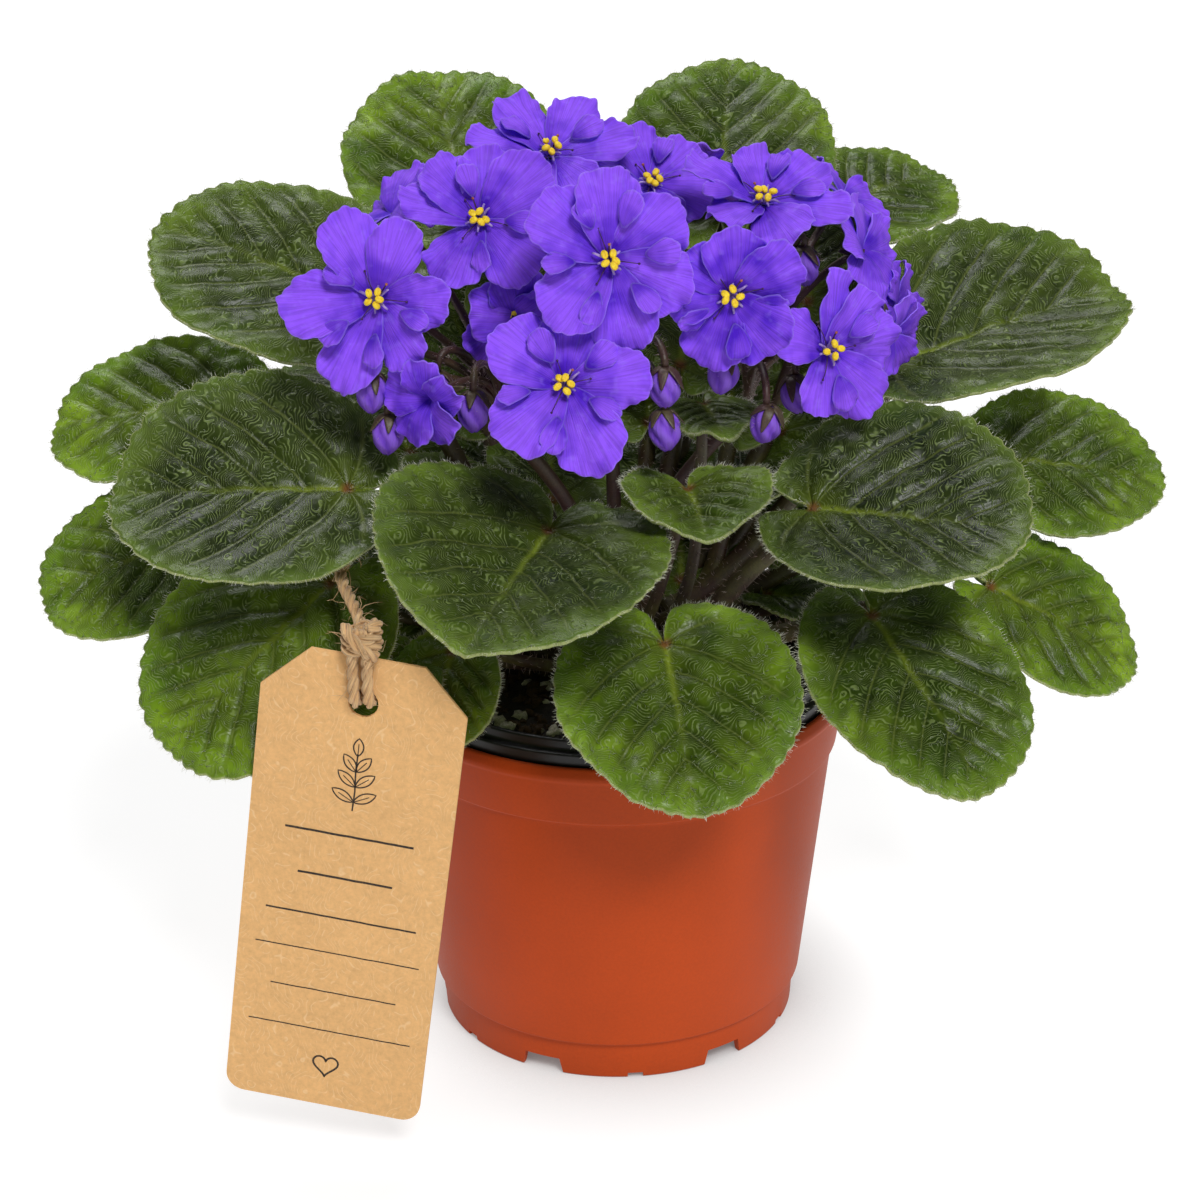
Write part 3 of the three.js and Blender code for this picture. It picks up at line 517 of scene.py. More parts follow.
def finished(name, bm, materials, replaced=(), flat_above=None):
    """Makes a bmesh in millimetres a piece in metres that rides on the frame."""
    mesh = as_mesh(name, bm)
    mesh.transform(Matrix.Scale(MM, 4))
    mesh.shade_smooth()
    if flat_above is not None:
        mesh.set_sharp_from_angle(angle=math.radians(flat_above))
    for made in materials:
        mesh.materials.append(made)
    piece = placed(name, mesh)
    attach(piece, "root")
    if replaced:
        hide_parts(*replaced)
    return piece


# Materials


def add(tree, kind, inputs=None, stops=None, take=None, **settings):
    """Adds a node with its settings, its inputs as values or sockets to link, and the stops of
    its ramp. Gives its first output, or the one named by take."""
    made = tree.nodes.new(kind)
    for name, value in settings.items():
        setattr(made, name, value)
    for name, value in (inputs or {}).items():
        if isinstance(value, bpy.types.NodeSocket):
            tree.links.new(value, made.inputs[name])
        else:
            made.inputs[name].default_value = value
    for i, (place, colour) in enumerate(stops or []):
        ramp = made.color_ramp.elements
        element = ramp[i] if i < len(ramp) else ramp.new(place)
        element.position, element.color = place, colour
    if take:
        return made.outputs[take]
    return next((output for output in made.outputs if output.enabled), None)


def blank(name):
    """A new material with an empty tree."""
    made = bpy.data.materials.new(name)
    made.use_nodes = True
    made.node_tree.nodes.clear()
    return made, made.node_tree


def grey(share):
    return (share, share, share, 1.0)


def shaded(tree, colour, height=None, distance=0.1, strength=1.0, **sockets):
    """Ends a tree in a Principled shader, with an optional bump in millimetres."""
    inputs = {"Base Color": colour, **{name.replace("_", " "): v for name, v in sockets.items()}}
    if height is not None:
        inputs["Normal"] = add(tree, "ShaderNodeBump", {
            "Height": height, "Distance": distance * MM, "Strength": strength})
    surface = add(tree, "ShaderNodeBsdfPrincipled", inputs)
    add(tree, "ShaderNodeOutputMaterial", {"Surface": surface})


def millimetres(tree):
    """Object coordinates counted in millimetres."""
    place = add(tree, "ShaderNodeTexCoord", take="Object")
    return add(tree, "ShaderNodeVectorMath", {0: place, "Scale": 1 / MM}, operation="SCALE")


def kept(tree, name):
    """The three numbers that a mesh keeps under a name, together and one by one."""
    whole = add(tree, "ShaderNodeAttribute", take="Vector", attribute_name=name)
    return whole, *add(tree, "ShaderNodeSeparateXYZ", {0: whole}).node.outputs


# A Map Range's inputs are 0 the value, 1 and 2 the range that it comes from, 3 and 4 the range
# that it goes to. A colour Mix has these three.
FACTOR, A, B = 0, 6, 7
RGBA = {"data_type": "RGBA"}
TIMES = {"data_type": "RGBA", "blend_type": "MULTIPLY"}


def quilted_leaf(name, props, under=False):
    """Living leaf, quilted between its sunken veins and waxy under its hairs: winding ridges like a
    fingerprint, painted pale as a highlight on the swellings, painted shade in the troughs along
    the side veins, in the hollows of its relief and toward its middle, a pale midrib at its base
    and a light rim. The under side is paler and matt."""
    made, tree = blank(name)
    blade, x, y, run = kept(tree, "blade")
    _, margin, youth_and_painted_light, share = kept(tree, "marks")
    apart = add(tree, "ShaderNodeMath", {0: youth_and_painted_light, 1: 40.0}, operation="MULTIPLY")
    flat = add(tree, "ShaderNodeCombineXYZ", {0: x, 1: y, 2: apart})
    # How far out of the middle between two side veins: a thin line on the vein, a wide trough.
    phase = add(tree, "ShaderNodeMath", {0: run, 1: 0.5}, operation="PINGPONG")
    inner = add(tree, "ShaderNodeMapRange", {0: margin, 1: 1.0, 2: 6.0, 3: 0.0, 4: 1.0})
    vein = add(tree, "ShaderNodeMapRange", {0: phase, 1: 0.0, 2: 0.05, 3: 1.0, 4: 0.0})
    trough = add(tree, "ShaderNodeMapRange", {0: phase, 1: 0.02, 2: 0.24, 3: 1.0, 4: 0.0},
                 interpolation_type="SMOOTHSTEP")
    vein, trough = (add(tree, "ShaderNodeMath", {0: mark, 1: inner}, operation="MULTIPLY")
                    for mark in (vein, trough))
    off_rib = add(tree, "ShaderNodeMath", {0: y}, operation="ABSOLUTE")
    rib = add(tree, "ShaderNodeMapRange", {0: off_rib, 1: 0.2, 2: 1.1, 3: 1.0, 4: 0.0})
    rib_fade = add(tree, "ShaderNodeMapRange", {0: share, 1: 0.02, 2: 0.6, 3: 0.9, 4: 0.12})
    rib = add(tree, "ShaderNodeMath", {0: rib, 1: rib_fade}, operation="MULTIPLY")
    off_join = add(tree, "ShaderNodeVectorMath", {0: blade, 1: (1.0, 1.0, 0.0)},
                   operation="MULTIPLY")
    off_join = add(tree, "ShaderNodeVectorMath", {0: off_join}, take="Value", operation="LENGTH")
    blush = add(tree, "ShaderNodeMapRange", {0: off_join, 1: 0.6, 2: 2.0, 3: 0.8, 4: 0.0})
    heart = add(tree, "ShaderNodeMapRange", {0: off_join, 1: 1.0, 2: 9.0, 3: 0.45, 4: 0.0})
    # Winding ridges about 0.8 mm apart, drawn a little coarser than the real 0.6 mm so that
    # they show: bands bent round and round, broken into short pieces.
    relief = add(tree, "ShaderNodeTexNoise", {
        "Vector": flat, "Scale": 0.2, "Detail": 1.5, "Roughness": 0.45, "Distortion": 0.5})
    bands = add(tree, "ShaderNodeTexWave", {
        "Vector": flat, "Scale": 0.38, "Distortion": 46.0, "Detail": 1.0, "Detail Scale": 0.55,
        "Detail Roughness": 0.35}, take="Fac", wave_type="BANDS")
    ridges = add(tree, "ShaderNodeMapRange", {0: bands, 1: 0.5, 2: 0.92, 3: 0.0, 4: 1.0},
                 interpolation_type="SMOOTHSTEP")
    breaks = add(tree, "ShaderNodeTexNoise", {"Vector": flat, "Scale": 0.6, "Detail": 1.0})
    breaks = add(tree, "ShaderNodeMapRange", {0: breaks, 1: 0.4, 2: 0.56, 3: 0.2, 4: 1.0})
    level = add(tree, "ShaderNodeMapRange", {0: trough, 1: 0.0, 2: 1.0, 3: 1.0, 4: 0.35})
    for part in (breaks, level):
        ridges = add(tree, "ShaderNodeMath", {0: ridges, 1: part}, operation="MULTIPLY")
    patches = add(tree, "ShaderNodeTexNoise", {
        "Vector": flat, "Scale": 0.065, "Detail": 2.0, "Roughness": 0.5})
    # A leaf's youth mark also carries painted light: its green is set brighter or darker for how it
    # is lit.
    green = add(tree, "ShaderNodeMix", {
        FACTOR: youth_and_painted_light, A: tuple(props.dark), B: tuple(props.bright)}, **RGBA)
    shade = add(tree, "ShaderNodeValToRGB", {0: patches}, stops=[
        (0.33, (0.5, 0.58, 0.5, 1)), (0.67, (1.35, 1.28, 1.15, 1))])
    # Painted light and shade: the colour is darker in the hollows of the relief and lighter on its
    # tops.
    painted_relief_light_and_shade = add(tree, "ShaderNodeValToRGB", {0: relief}, stops=[
        (0.35, grey(0.66)), (0.62, grey(1.2))])
    # Painted shade: every blade is darker toward its middle and lighter toward its edge.
    painted_core_shade = add(tree, "ShaderNodeMapRange", {0: margin, 1: 0.5, 2: 12.0, 3: 1.45, 4: 0.52})
    for tone in (shade, painted_relief_light_and_shade, painted_core_shade):
        green = add(tree, "ShaderNodeMix", {FACTOR: 1.0, A: green, B: tone}, **TIMES)
    # Painted shade: the troughs along the side veins are painted near black, deeper on young
    # blades.
    painted_trough_shade = add(tree, "ShaderNodeMapRange", {0: youth_and_painted_light, 1: 0.0, 2: 0.7, 3: 0.22, 4: 0.42})
    painted_trough_shade = add(tree, "ShaderNodeMath", {0: trough, 1: painted_trough_shade}, operation="MULTIPLY")
    # Painted highlight: the ridges are painted pale, faint in the troughs.
    painted_ridge_highlight = add(tree, "ShaderNodeMath", {0: ridges, 1: 0.46}, operation="MULTIPLY")
    line = add(tree, "ShaderNodeMath", {0: vein, 1: 0.4}, operation="MULTIPLY")
    border = add(tree, "ShaderNodeMapRange", {0: margin, 1: 0.5, 2: 4.0, 3: 0.35, 4: 0.0})
    rim = add(tree, "ShaderNodeMapRange", {0: margin, 1: 0.0, 2: 0.35, 3: 0.65, 4: 0.0})
    for factor, colour in ((painted_trough_shade, 0x151C0A), (painted_ridge_highlight, 0x8A9C5C), (line, 0x75803E),
                           (heart, 0x66781C), (rib, 0x788826), (border, 0x6C8434),
                           (rim, 0xA9B076), (blush, 0x6A3022)):
        green = add(tree, "ShaderNodeMix", {FACTOR: factor, A: green, B: linear(colour)}, **RGBA)
    ridge = add(tree, "ShaderNodeMath", {0: ridges, 1: 0.4}, operation="MULTIPLY")
    height = add(tree, "ShaderNodeMath", {0: ridge, 1: relief}, operation="ADD")
    deep = add(tree, "ShaderNodeMath", {0: trough, 1: 0.6}, operation="MULTIPLY")
    height = add(tree, "ShaderNodeMath", {0: height, 1: deep}, operation="SUBTRACT")
    if under:
        green = add(tree, "ShaderNodeMix", {FACTOR: 0.5, A: green, B: linear(0x7E9562)}, **RGBA)
        shaded(tree, green, height, 0.3, 0.5, Roughness=0.75, Specular_IOR_Level=0.3)
    else:
        shaded(tree, green, height, 0.34, 1.0, Roughness=0.32, Specular_IOR_Level=0.2)
    return made


def fleshy_stalk(name, colour, green_share):
    """Soft living stalk under fine hairs: maroon skin over green flesh, in long streaks."""
    made, tree = blank(name)
    place = millimetres(tree)
    streaks = add(tree, "ShaderNodeTexNoise", {
        "Vector": place, "Scale": 0.12, "Detail": 3.0, "Roughness": 0.6})
    skin = add(tree, "ShaderNodeValToRGB", {0: streaks}, stops=[
        (0.38, tuple(colour)), (0.68, linear(0x5C5C28))])
    skin = add(tree, "ShaderNodeMix", {FACTOR: green_share, A: tuple(colour), B: skin}, **RGBA)
    grain = add(tree, "ShaderNodeTexNoise", {"Vector": place, "Scale": 2.2, "Detail": 2.0})
    dots = add(tree, "ShaderNodeValToRGB", {0: grain}, stops=[(0.3, grey(0.65)), (0.75, grey(1.2))])
    skin = add(tree, "ShaderNodeMix", {FACTOR: 1.0, A: skin, B: dots}, **TIMES)
    shaded(tree, skin, grain, 0.12, 0.6, Roughness=0.48)
    return made


def glassy_hair(name, colour, light):
    """Plant hairs, hollow and nearly clear, drawn opaque: their pale colour is partly their own and
    partly a painted glint along their length.
    """
    made, tree = blank(name)
    tint = add(tree, "ShaderNodeTexNoise", {
        "Vector": millimetres(tree), "Scale": 0.25, "Detail": 1.0})
    pale_with_painted_glint = add(tree, "ShaderNodeValToRGB", {0: tint}, stops=[
        (0.35, linear(colour)), (0.65, linear(light))])
    shaded(tree, pale_with_painted_glint, Roughness=0.35)
    return made


def velvet_petal(name, props, bud=False):
    """Thin velvety petal: violet blue, deeper toward the throat, with fine darker veins that fan
    out along it, a painted highlight along its edge and small blisters with painted glints on them."""
    made, tree = blank(name)
    petal, reach, _, seed = kept(tree, "petal")
    _, near, off_edge, spread = kept(tree, "marks")
    # Veins 0.7 mm apart at the tip, drawn out along the petal.
    along_petal = add(tree, "ShaderNodeMath", {0: reach, 1: 0.09}, operation="MULTIPLY")
    round_petal = add(tree, "ShaderNodeMath", {0: spread, 1: 11.0}, operation="MULTIPLY")
    fan = add(tree, "ShaderNodeCombineXYZ", {0: along_petal, 1: round_petal, 2: seed})
    veins = add(tree, "ShaderNodeTexNoise", {
        "Vector": fan, "Scale": 1.0, "Detail": 3.0, "Roughness": 0.65})
    blisters = add(tree, "ShaderNodeTexNoise", {
        "Vector": petal, "Scale": 0.55, "Detail": 1.5, "Roughness": 0.5})
    clouds = add(tree, "ShaderNodeTexNoise", {"Vector": petal, "Scale": 0.2, "Detail": 1.5})
    clouds = add(tree, "ShaderNodeMapRange", {0: clouds, 1: 0.3, 2: 0.7, 3: 0.1, 4: 0.9})
    depth = add(tree, "ShaderNodeMapRange", {0: near, 1: 0.04, 2: 0.7, 3: 0.0, 4: 0.9})
    depth = add(tree, "ShaderNodeMath", {0: depth, 1: clouds}, operation="ADD")
    depth = add(tree, "ShaderNodeMapRange", {0: depth, 1: 0.3, 2: 1.3, 3: 0.0, 4: 1.0})
    violet = add(tree, "ShaderNodeMix", {
        FACTOR: depth, A: tuple(props.deep), B: tuple(props.petal)}, **RGBA)
    streak = add(tree, "ShaderNodeValToRGB", {0: veins}, stops=[
        (0.35, grey(0.78)), (0.55, grey(1.0)), (0.75, grey(1.1))])
    violet = add(tree, "ShaderNodeMix", {FACTOR: 1.0, A: violet, B: streak}, **TIMES)
    # Painted glints: the tops of the blisters are painted light.
    painted_glint = add(tree, "ShaderNodeMapRange", {0: blisters, 1: 0.58, 2: 0.74, 3: 0.0, 4: 0.16})
    # Painted highlight: a thin light line along the petal's edge.
    edge = add(tree, "ShaderNodeMapRange", {0: off_edge, 1: 0.0, 2: 0.28, 3: 0.3, 4: 0.0})
    for factor, colour in ((painted_glint, 0xA88CFF), (edge, 0xB4A0FF)):
        violet = add(tree, "ShaderNodeMix", {FACTOR: factor, A: violet, B: linear(colour)}, **RGBA)
    if bud:
        violet = add(tree, "ShaderNodeMix", {FACTOR: 0.45, A: violet, B: linear(0x6A4690)}, **RGBA)
    height = add(tree, "ShaderNodeMath", {0: veins, 1: blisters}, operation="ADD")
    shaded(tree, violet, height, 0.28, 0.8, Roughness=0.62, Sheen_Weight=0.08,
           Sheen_Tint=linear(0xB49CFF), Specular_IOR_Level=0.2)
    return made


def mottled(name, dark, light, scale, roughness, bump, strength=0.6, **sockets):
    """A matt natural surface in two close shades, its mottling given in marks a millimetre."""
    made, tree = blank(name)
    tone = add(tree, "ShaderNodeTexNoise", {
        "Vector": millimetres(tree), "Scale": scale, "Detail": 4.0, "Roughness": 0.65})
    shade = add(tree, "ShaderNodeValToRGB", {0: tone}, stops=[
        (0.3, tuple(dark)), (0.7, tuple(light))])
    shaded(tree, shade, tone, bump, strength, Roughness=roughness, **sockets)
    return made


def moulded_plastic(name, colour, roughness, cloud, gloss):
    """Injection-moulded polypropylene with a fine spark-eroded grain: soft broad highlights,
    and faint clouds where the pigment flowed."""
    made, tree = blank(name)
    place = millimetres(tree)
    clouds = add(tree, "ShaderNodeTexNoise", {"Vector": place, "Scale": 0.035, "Detail": 3.0})
    # The grain is drawn 0.6 mm wide, coarser than the real 0.1 mm, so that it shows.
    grain = add(tree, "ShaderNodeTexNoise", {
        "Vector": place, "Scale": 1.6, "Detail": 3.0, "Roughness": 0.6})
    shade = add(tree, "ShaderNodeValToRGB", {0: clouds}, stops=[
        (0.3, grey(1 - cloud)), (0.7, grey(1 + cloud))])
    speck = add(tree, "ShaderNodeValToRGB", {0: grain}, stops=[
        (0.3, grey(0.94)), (0.7, grey(1.05))])
    tint = tuple(colour)
    for part in (shade, speck):
        tint = add(tree, "ShaderNodeMix", {FACTOR: 1.0, A: tint, B: part}, **TIMES)
    shine = add(tree, "ShaderNodeMapRange", {
        0: grain, 1: 0.3, 2: 0.7, 3: roughness - 0.05, 4: roughness + 0.06})
    shaded(tree, tint, grain, 0.035, 0.7, Roughness=shine, Specular_IOR_Level=gloss)
    return made


def kraft_card(name, props):
    """Recycled kraft card pressed from brown pulp: clouded, flecked with pale fibres a few
    millimetres long, and slightly rough."""
    made, tree = blank(name)
    place = millimetres(tree)
    clouds = add(tree, "ShaderNodeTexNoise", {
        "Vector": place, "Scale": 0.09, "Detail": 4.0, "Roughness": 0.7})
    pulp = add(tree, "ShaderNodeTexNoise", {
        "Vector": place, "Scale": 0.75, "Detail": 5.0, "Roughness": 0.75})
    # Pale fibres 0.5 mm wide, coarser than the real 0.1 mm so that they show, winding and
    # broken into strokes 2 to 4 mm long.
    winding = add(tree, "ShaderNodeTexWave", {
        "Vector": place, "Scale": 0.2, "Distortion": 34.0, "Detail": 1.0, "Detail Scale": 0.8,
        "Detail Roughness": 0.4}, take="Fac", wave_type="BANDS")
    strokes = add(tree, "ShaderNodeMapRange", {0: winding, 1: 0.9, 2: 0.99, 3: 0.0, 4: 0.4})
    breaks = add(tree, "ShaderNodeTexNoise", {"Vector": place, "Scale": 0.45, "Detail": 1.0})
    breaks = add(tree, "ShaderNodeMapRange", {0: breaks, 1: 0.45, 2: 0.55, 3: 0.0, 4: 1.0})
    fibres = add(tree, "ShaderNodeMath", {0: strokes, 1: breaks}, operation="MULTIPLY")
    tone = add(tree, "ShaderNodeValToRGB", {0: clouds}, stops=[
        (0.3, grey(0.95)), (0.7, grey(1.04))])
    fleck = add(tree, "ShaderNodeValToRGB", {0: pulp}, stops=[
        (0.3, grey(0.86)), (0.62, grey(1.05))])
    card = tuple(props.card)
    for part in (tone, fleck):
        card = add(tree, "ShaderNodeMix", {FACTOR: 1.0, A: card, B: part}, **TIMES)
    card = add(tree, "ShaderNodeMix", {FACTOR: fibres, A: card, B: linear(0xF0CFA0)}, **RGBA)
    height = add(tree, "ShaderNodeMath", {0: pulp, 1: fibres}, operation="ADD")
    shaded(tree, card, height, 0.1, 0.7, Roughness=0.85, Specular_IOR_Level=0.25)
    return made


def printed_ink(name, props):
    """Matt ink pressed into rough card: near black, thinner where the card's tooth stands up."""
    made, tree = blank(name)
    wear = add(tree, "ShaderNodeTexNoise", {
        "Vector": millimetres(tree), "Scale": 2.5, "Detail": 3.0})
    ink = add(tree, "ShaderNodeValToRGB", {0: wear}, stops=[
        (0.5, tuple(props.ink)), (0.85, linear(0x6A5238))])
    shaded(tree, ink, wear, 0.03, 0.5, Roughness=0.8)
    return made


def jute_fibre(name, props):
    """Spun jute: dry straw-coloured fibres lying along each ply, in light and dark streaks."""
    made, tree = blank(name)
    ply = add(tree, "ShaderNodeAttribute", take="Vector", attribute_name="ply")
    # Fibres 0.4 mm across and about 6 mm long, coarser than the real 0.1 mm so that they show.
    lines = add(tree, "ShaderNodeMapping", {"Vector": ply, "Scale": (0.16, 2.6, 1)})
    strands = add(tree, "ShaderNodeTexNoise", {
        "Vector": lines, "Scale": 1.0, "Detail": 3.0, "Roughness": 0.7})
    patch = add(tree, "ShaderNodeTexNoise", {
        "Vector": millimetres(tree), "Scale": 0.25, "Detail": 2.0})
    shade = add(tree, "ShaderNodeValToRGB", {0: strands}, stops=[
        (0.25, grey(0.4)), (0.65, grey(1.15))])
    bleach = add(tree, "ShaderNodeMapRange", {0: patch, 1: 0.35, 2: 0.7, 3: 0.0, 4: 1.0})
    straw = add(tree, "ShaderNodeMix", {
        FACTOR: bleach, A: tuple(props.jute), B: linear(0xDDB988)}, **RGBA)
    straw = add(tree, "ShaderNodeMix", {FACTOR: 1.0, A: straw, B: shade}, **TIMES)
    shaded(tree, straw, strands, 0.25, 0.9, Roughness=0.8, Sheen_Weight=0.2)
    return made


# Leaves


def leaf_place(at, turn):
    heading, pitch, roll = (math.radians(angle) for angle in turn)
    return (Matrix.Translation(at) @ Matrix.Rotation(heading, 4, "Z")
            @ Matrix.Rotation(-pitch, 4, "Y") @ Matrix.Rotation(roll, 4, "X"))


def blade_rule(leaf, reach, around, props):
    """Where points of a unit disc go on a blade, with the stalk's join as the origin, its tip
    along +X and its face up, and what its material is told at each."""
    name, _, _, (length, width), fold, droop, _, youth_and_painted_light = leaf
    seed = sum(map(ord, name))
    turn = around + 0.3 * np.sin(around)  # closer spokes at the notch, wider ones at the tip
    x = LOBE_CENTRE + LOBE_RADIUS * np.cos(turn)
    y = LOBE_RADIUS * np.sin(turn)
    from_back = np.degrees(math.pi - np.abs(np.arctan2(y, x))) / NOTCH_WIDTH
    rim = np.clip((reach - 0.8) / 0.2, 0, 1)
    # Low rounded teeth with narrow dips between them.
    beat = 1.9 * np.abs(np.sin(TEETH / 2 * turn + 0.5 * np.sin(5 * turn + seed))) - 1.2
    uneven = 0.012 * np.sin(3 * turn + seed) + 0.008 * np.sin(7 * turn + 2 * seed)
    edge = length * (1 - NOTCH_DEPTH * np.exp(-(from_back ** 2)))
    edge = edge * (0.98 + uneven * rim + 0.0105 * beat * rim ** 2)
    side = np.sign(y)
    x, y = x * edge * reach, y * edge * reach * width / (2 * LOBE_RADIUS * length)
    off = np.abs(y)
    across = np.sqrt(y * y + 1.4) - math.sqrt(1.4)
    # Side veins leave the midrib close together and spread apart as they sweep to the tip.
    sweep = 0.45 * off + 0.02 * y * y
    spacing = length / VEIN_PAIRS * (0.8 + 0.022 * off)
    fan = np.arctan2(np.maximum(sweep - x, 0), off + 1e-3) * 1.3
    phase = np.where(x > sweep, (x - sweep) / spacing, -fan)
    swell = np.sqrt(0.5 - 0.5 * np.cos(2 * math.pi * phase) + 0.02) - 0.5
    # Cross veins part the swellings into pillows about 6 mm long.
    pillow = np.hypot(x, y) / 6.2 + 0.37 * np.floor(phase) + 0.15 * np.sin(x + seed)
    pillow = np.sqrt(0.5 - 0.5 * np.cos(2 * math.pi * pillow) + 0.04) - 0.6
    swell = swell + 0.4 * pillow * (swell + 0.5)
    inward = (1 - reach ** 5) * np.clip(np.hypot(x, y) / 6, 0, 1)
    quilt = props.quilt / MM * (0.45 + 0.3 * length / 50 + 0.35 * youth_and_painted_light)
    lumps = np.array([
        noise.noise(Vector((a * 0.1, b * 0.1, seed)))
        + 0.5 * noise.noise(Vector((a * 0.27, b * 0.27, seed)))
        + 0.22 * noise.noise(Vector((a * 0.6, b * 0.6, seed))) for a, b in zip(x, y)])
    z = across * math.sin(math.radians(fold)) - droop * (x / length) ** 2
    z = z + quilt * swell * inward + lumps * np.clip(reach * 2, 0, 1)
    z = z - 0.8 * np.exp(-((y / 1.5) ** 2)) * np.clip(1 - x / length, 0, 1)
    z = z + rim ** 2 * (0.5 * np.sin(6 * turn + seed) + 0.2 * beat)
    # One lobe lies a little over the other at the notch.
    z = z + 1.1 * side * np.exp(-((from_back / 2.2) ** 2)) * reach ** 2
    margin = (1 - reach) * edge * np.hypot(LOBE_CENTRE + LOBE_RADIUS * np.cos(turn),
                                           LOBE_RADIUS * np.sin(turn))
    places = np.stack([x, y, z], 1)
    blade = np.stack([x, y, phase], 1)
    marks = np.stack([margin, np.full_like(x, youth_and_painted_light), x / length], 1)
    return places, blade, marks


def stalk_line(leaf):
    """The leaf stalk from the crown to where it runs out under the blade, in the row frame."""
    _, at, turn, (length, _), _, droop, (azimuth, height), _ = leaf
    place = leaf_place(at, turn)
    radius = SMALL_STALK_RADIUS if length < SMALL_LENGTH else STALK_RADIUS
    out = Vector((math.cos(math.radians(azimuth)), math.sin(math.radians(azimuth)), 0))
    start = out * CROWN_RADIUS + Vector((0, 0, height))
    arriving = place @ Vector((-0.35 * length, 0, -0.25 * length))
    end = place @ Vector((0.1 * length, 0, -radius - 1.2))
    line = bezier(start, start + out * 16, arriving, end, STALK_STEPS)
    radii = [radius * (1.15 - 0.25 * i / STALK_STEPS) for i in range(STALK_STEPS + 1)]
    for i in range(1, RIB_STEPS + 1):  # the rib under the blade, thinning toward the tip
        share = 0.1 + 0.5 * i / RIB_STEPS
        thin = radius * (0.8 - 0.65 * i / RIB_STEPS)
        line.append(place @ Vector((share * length, 0, -2.1 - thin * 0.75 - droop * share ** 2)))
        radii.append(thin)
    return line, radii


def blade_hairs(front, leaf, props, dice, lying, fringe):
    """Places for the hairs on a blade's face and along its edge, in the row frame."""
    _, at, turn, (length, _), _, _, _, _ = leaf
    place = leaf_place(at, turn)
    middle, up = place @ Vector((LOBE_CENTRE * length, 0, 0)), place.to_3x3() @ Vector((0, 0, 1))
    areas = [face.calc_area() for face in front]
    for face in dice.choices(front, weights=areas, k=round(sum(areas) * props.density)):
        corners = [vertex.co for vertex in by_index(face)]
        shares = [dice.random() + 0.05 for _ in corners]
        point = sum((c * s for c, s in zip(corners, shares)), Vector()) / sum(shares)
        ahead = any_way(dice)
        lying.append(standing(point, face.normal, ahead, props.hair / MM * dice.uniform(0.6, 1.3)))
    inside = set(front)
    for edge in (e for f in front for e in f.edges if not inside.issuperset(e.link_faces)):
        first, last = by_index(edge)
        for _ in range(2):
            point = first.co.lerp(last.co, dice.random())
            out = (point - middle).normalized() + up * dice.uniform(-0.35, 0.5)
            out = (out + Vector([dice.uniform(-0.35, 0.35) for _ in range(3)])).normalized()
            fringe.append(standing(point, out, up, props.hair / MM * dice.uniform(0.6, 1.1)))


def curled_masters():
    """Lying hairs: one unit long, rising a little off the leaf and curling to one side. All
    hairs are drawn about 0.1 mm thick, twice the real ones, so that they show."""
    made = []
    for bend in (-3.0, -2.0, -0.8, 1.0, 2.2, 3.0):
        points = []
        for t in (0, 0.5, 1):
            lift = 0.03 + 0.22 * math.sin(math.pi * min(1, t * 1.1))
            points.append((math.sin(bend * t) / bend, (1 - math.cos(bend * t)) / bend, lift))
        made.append(master(points, (0.055, 0.045, 0.015)))
    return made


def upright_masters(thick=0.045):
    """Standing hairs: one unit tall, leaning to one side."""
    return [master([(0, 0, -0.05), (lean * 0.3, 0, 0.5), (lean, lean * 0.4, 1)],
                   (thick, thick * 0.8, thick * 0.25)) for lean in (-0.35, -0.12, 0.2, 0.4)]


def grown_leaf(leaf, flat, props, dice, lying, fringe, stalk_hairs):
    """One whole leaf as a bmesh, with the places of its hairs added to three lists."""
    _, at, turn, (length, _), _, _, _, _ = leaf
    bm = bmesh.new()
    bm.from_mesh(flat)
    places, blade, marks = blade_rule(leaf, *polar(bm), props)
    written(bm, places, blade=blade, marks=marks)
    front = backed(bm, props.thickness / MM, slot=1)
    bmesh.ops.transform(bm, matrix=leaf_place(at, turn), verts=bm.verts[:])
    bm.normal_update()
    blade_hairs(front, leaf, props, dice, lying, fringe)
    line, thick = stalk_line(leaf)
    stalk = bmesh.new()
    tube(stalk, line, thick, sides=14, slot=2)
    add_part(bm, stalk)
    for point, before, radius in zip(line[2:STALK_STEPS + 1], line[1:], thick[2:]):
        for _ in range(12 if length > SMALL_LENGTH else 5):
            stalk_hairs.append(stalk_hair(before, point, radius * 0.97, (0.8, 1.5), dice))
    return bm


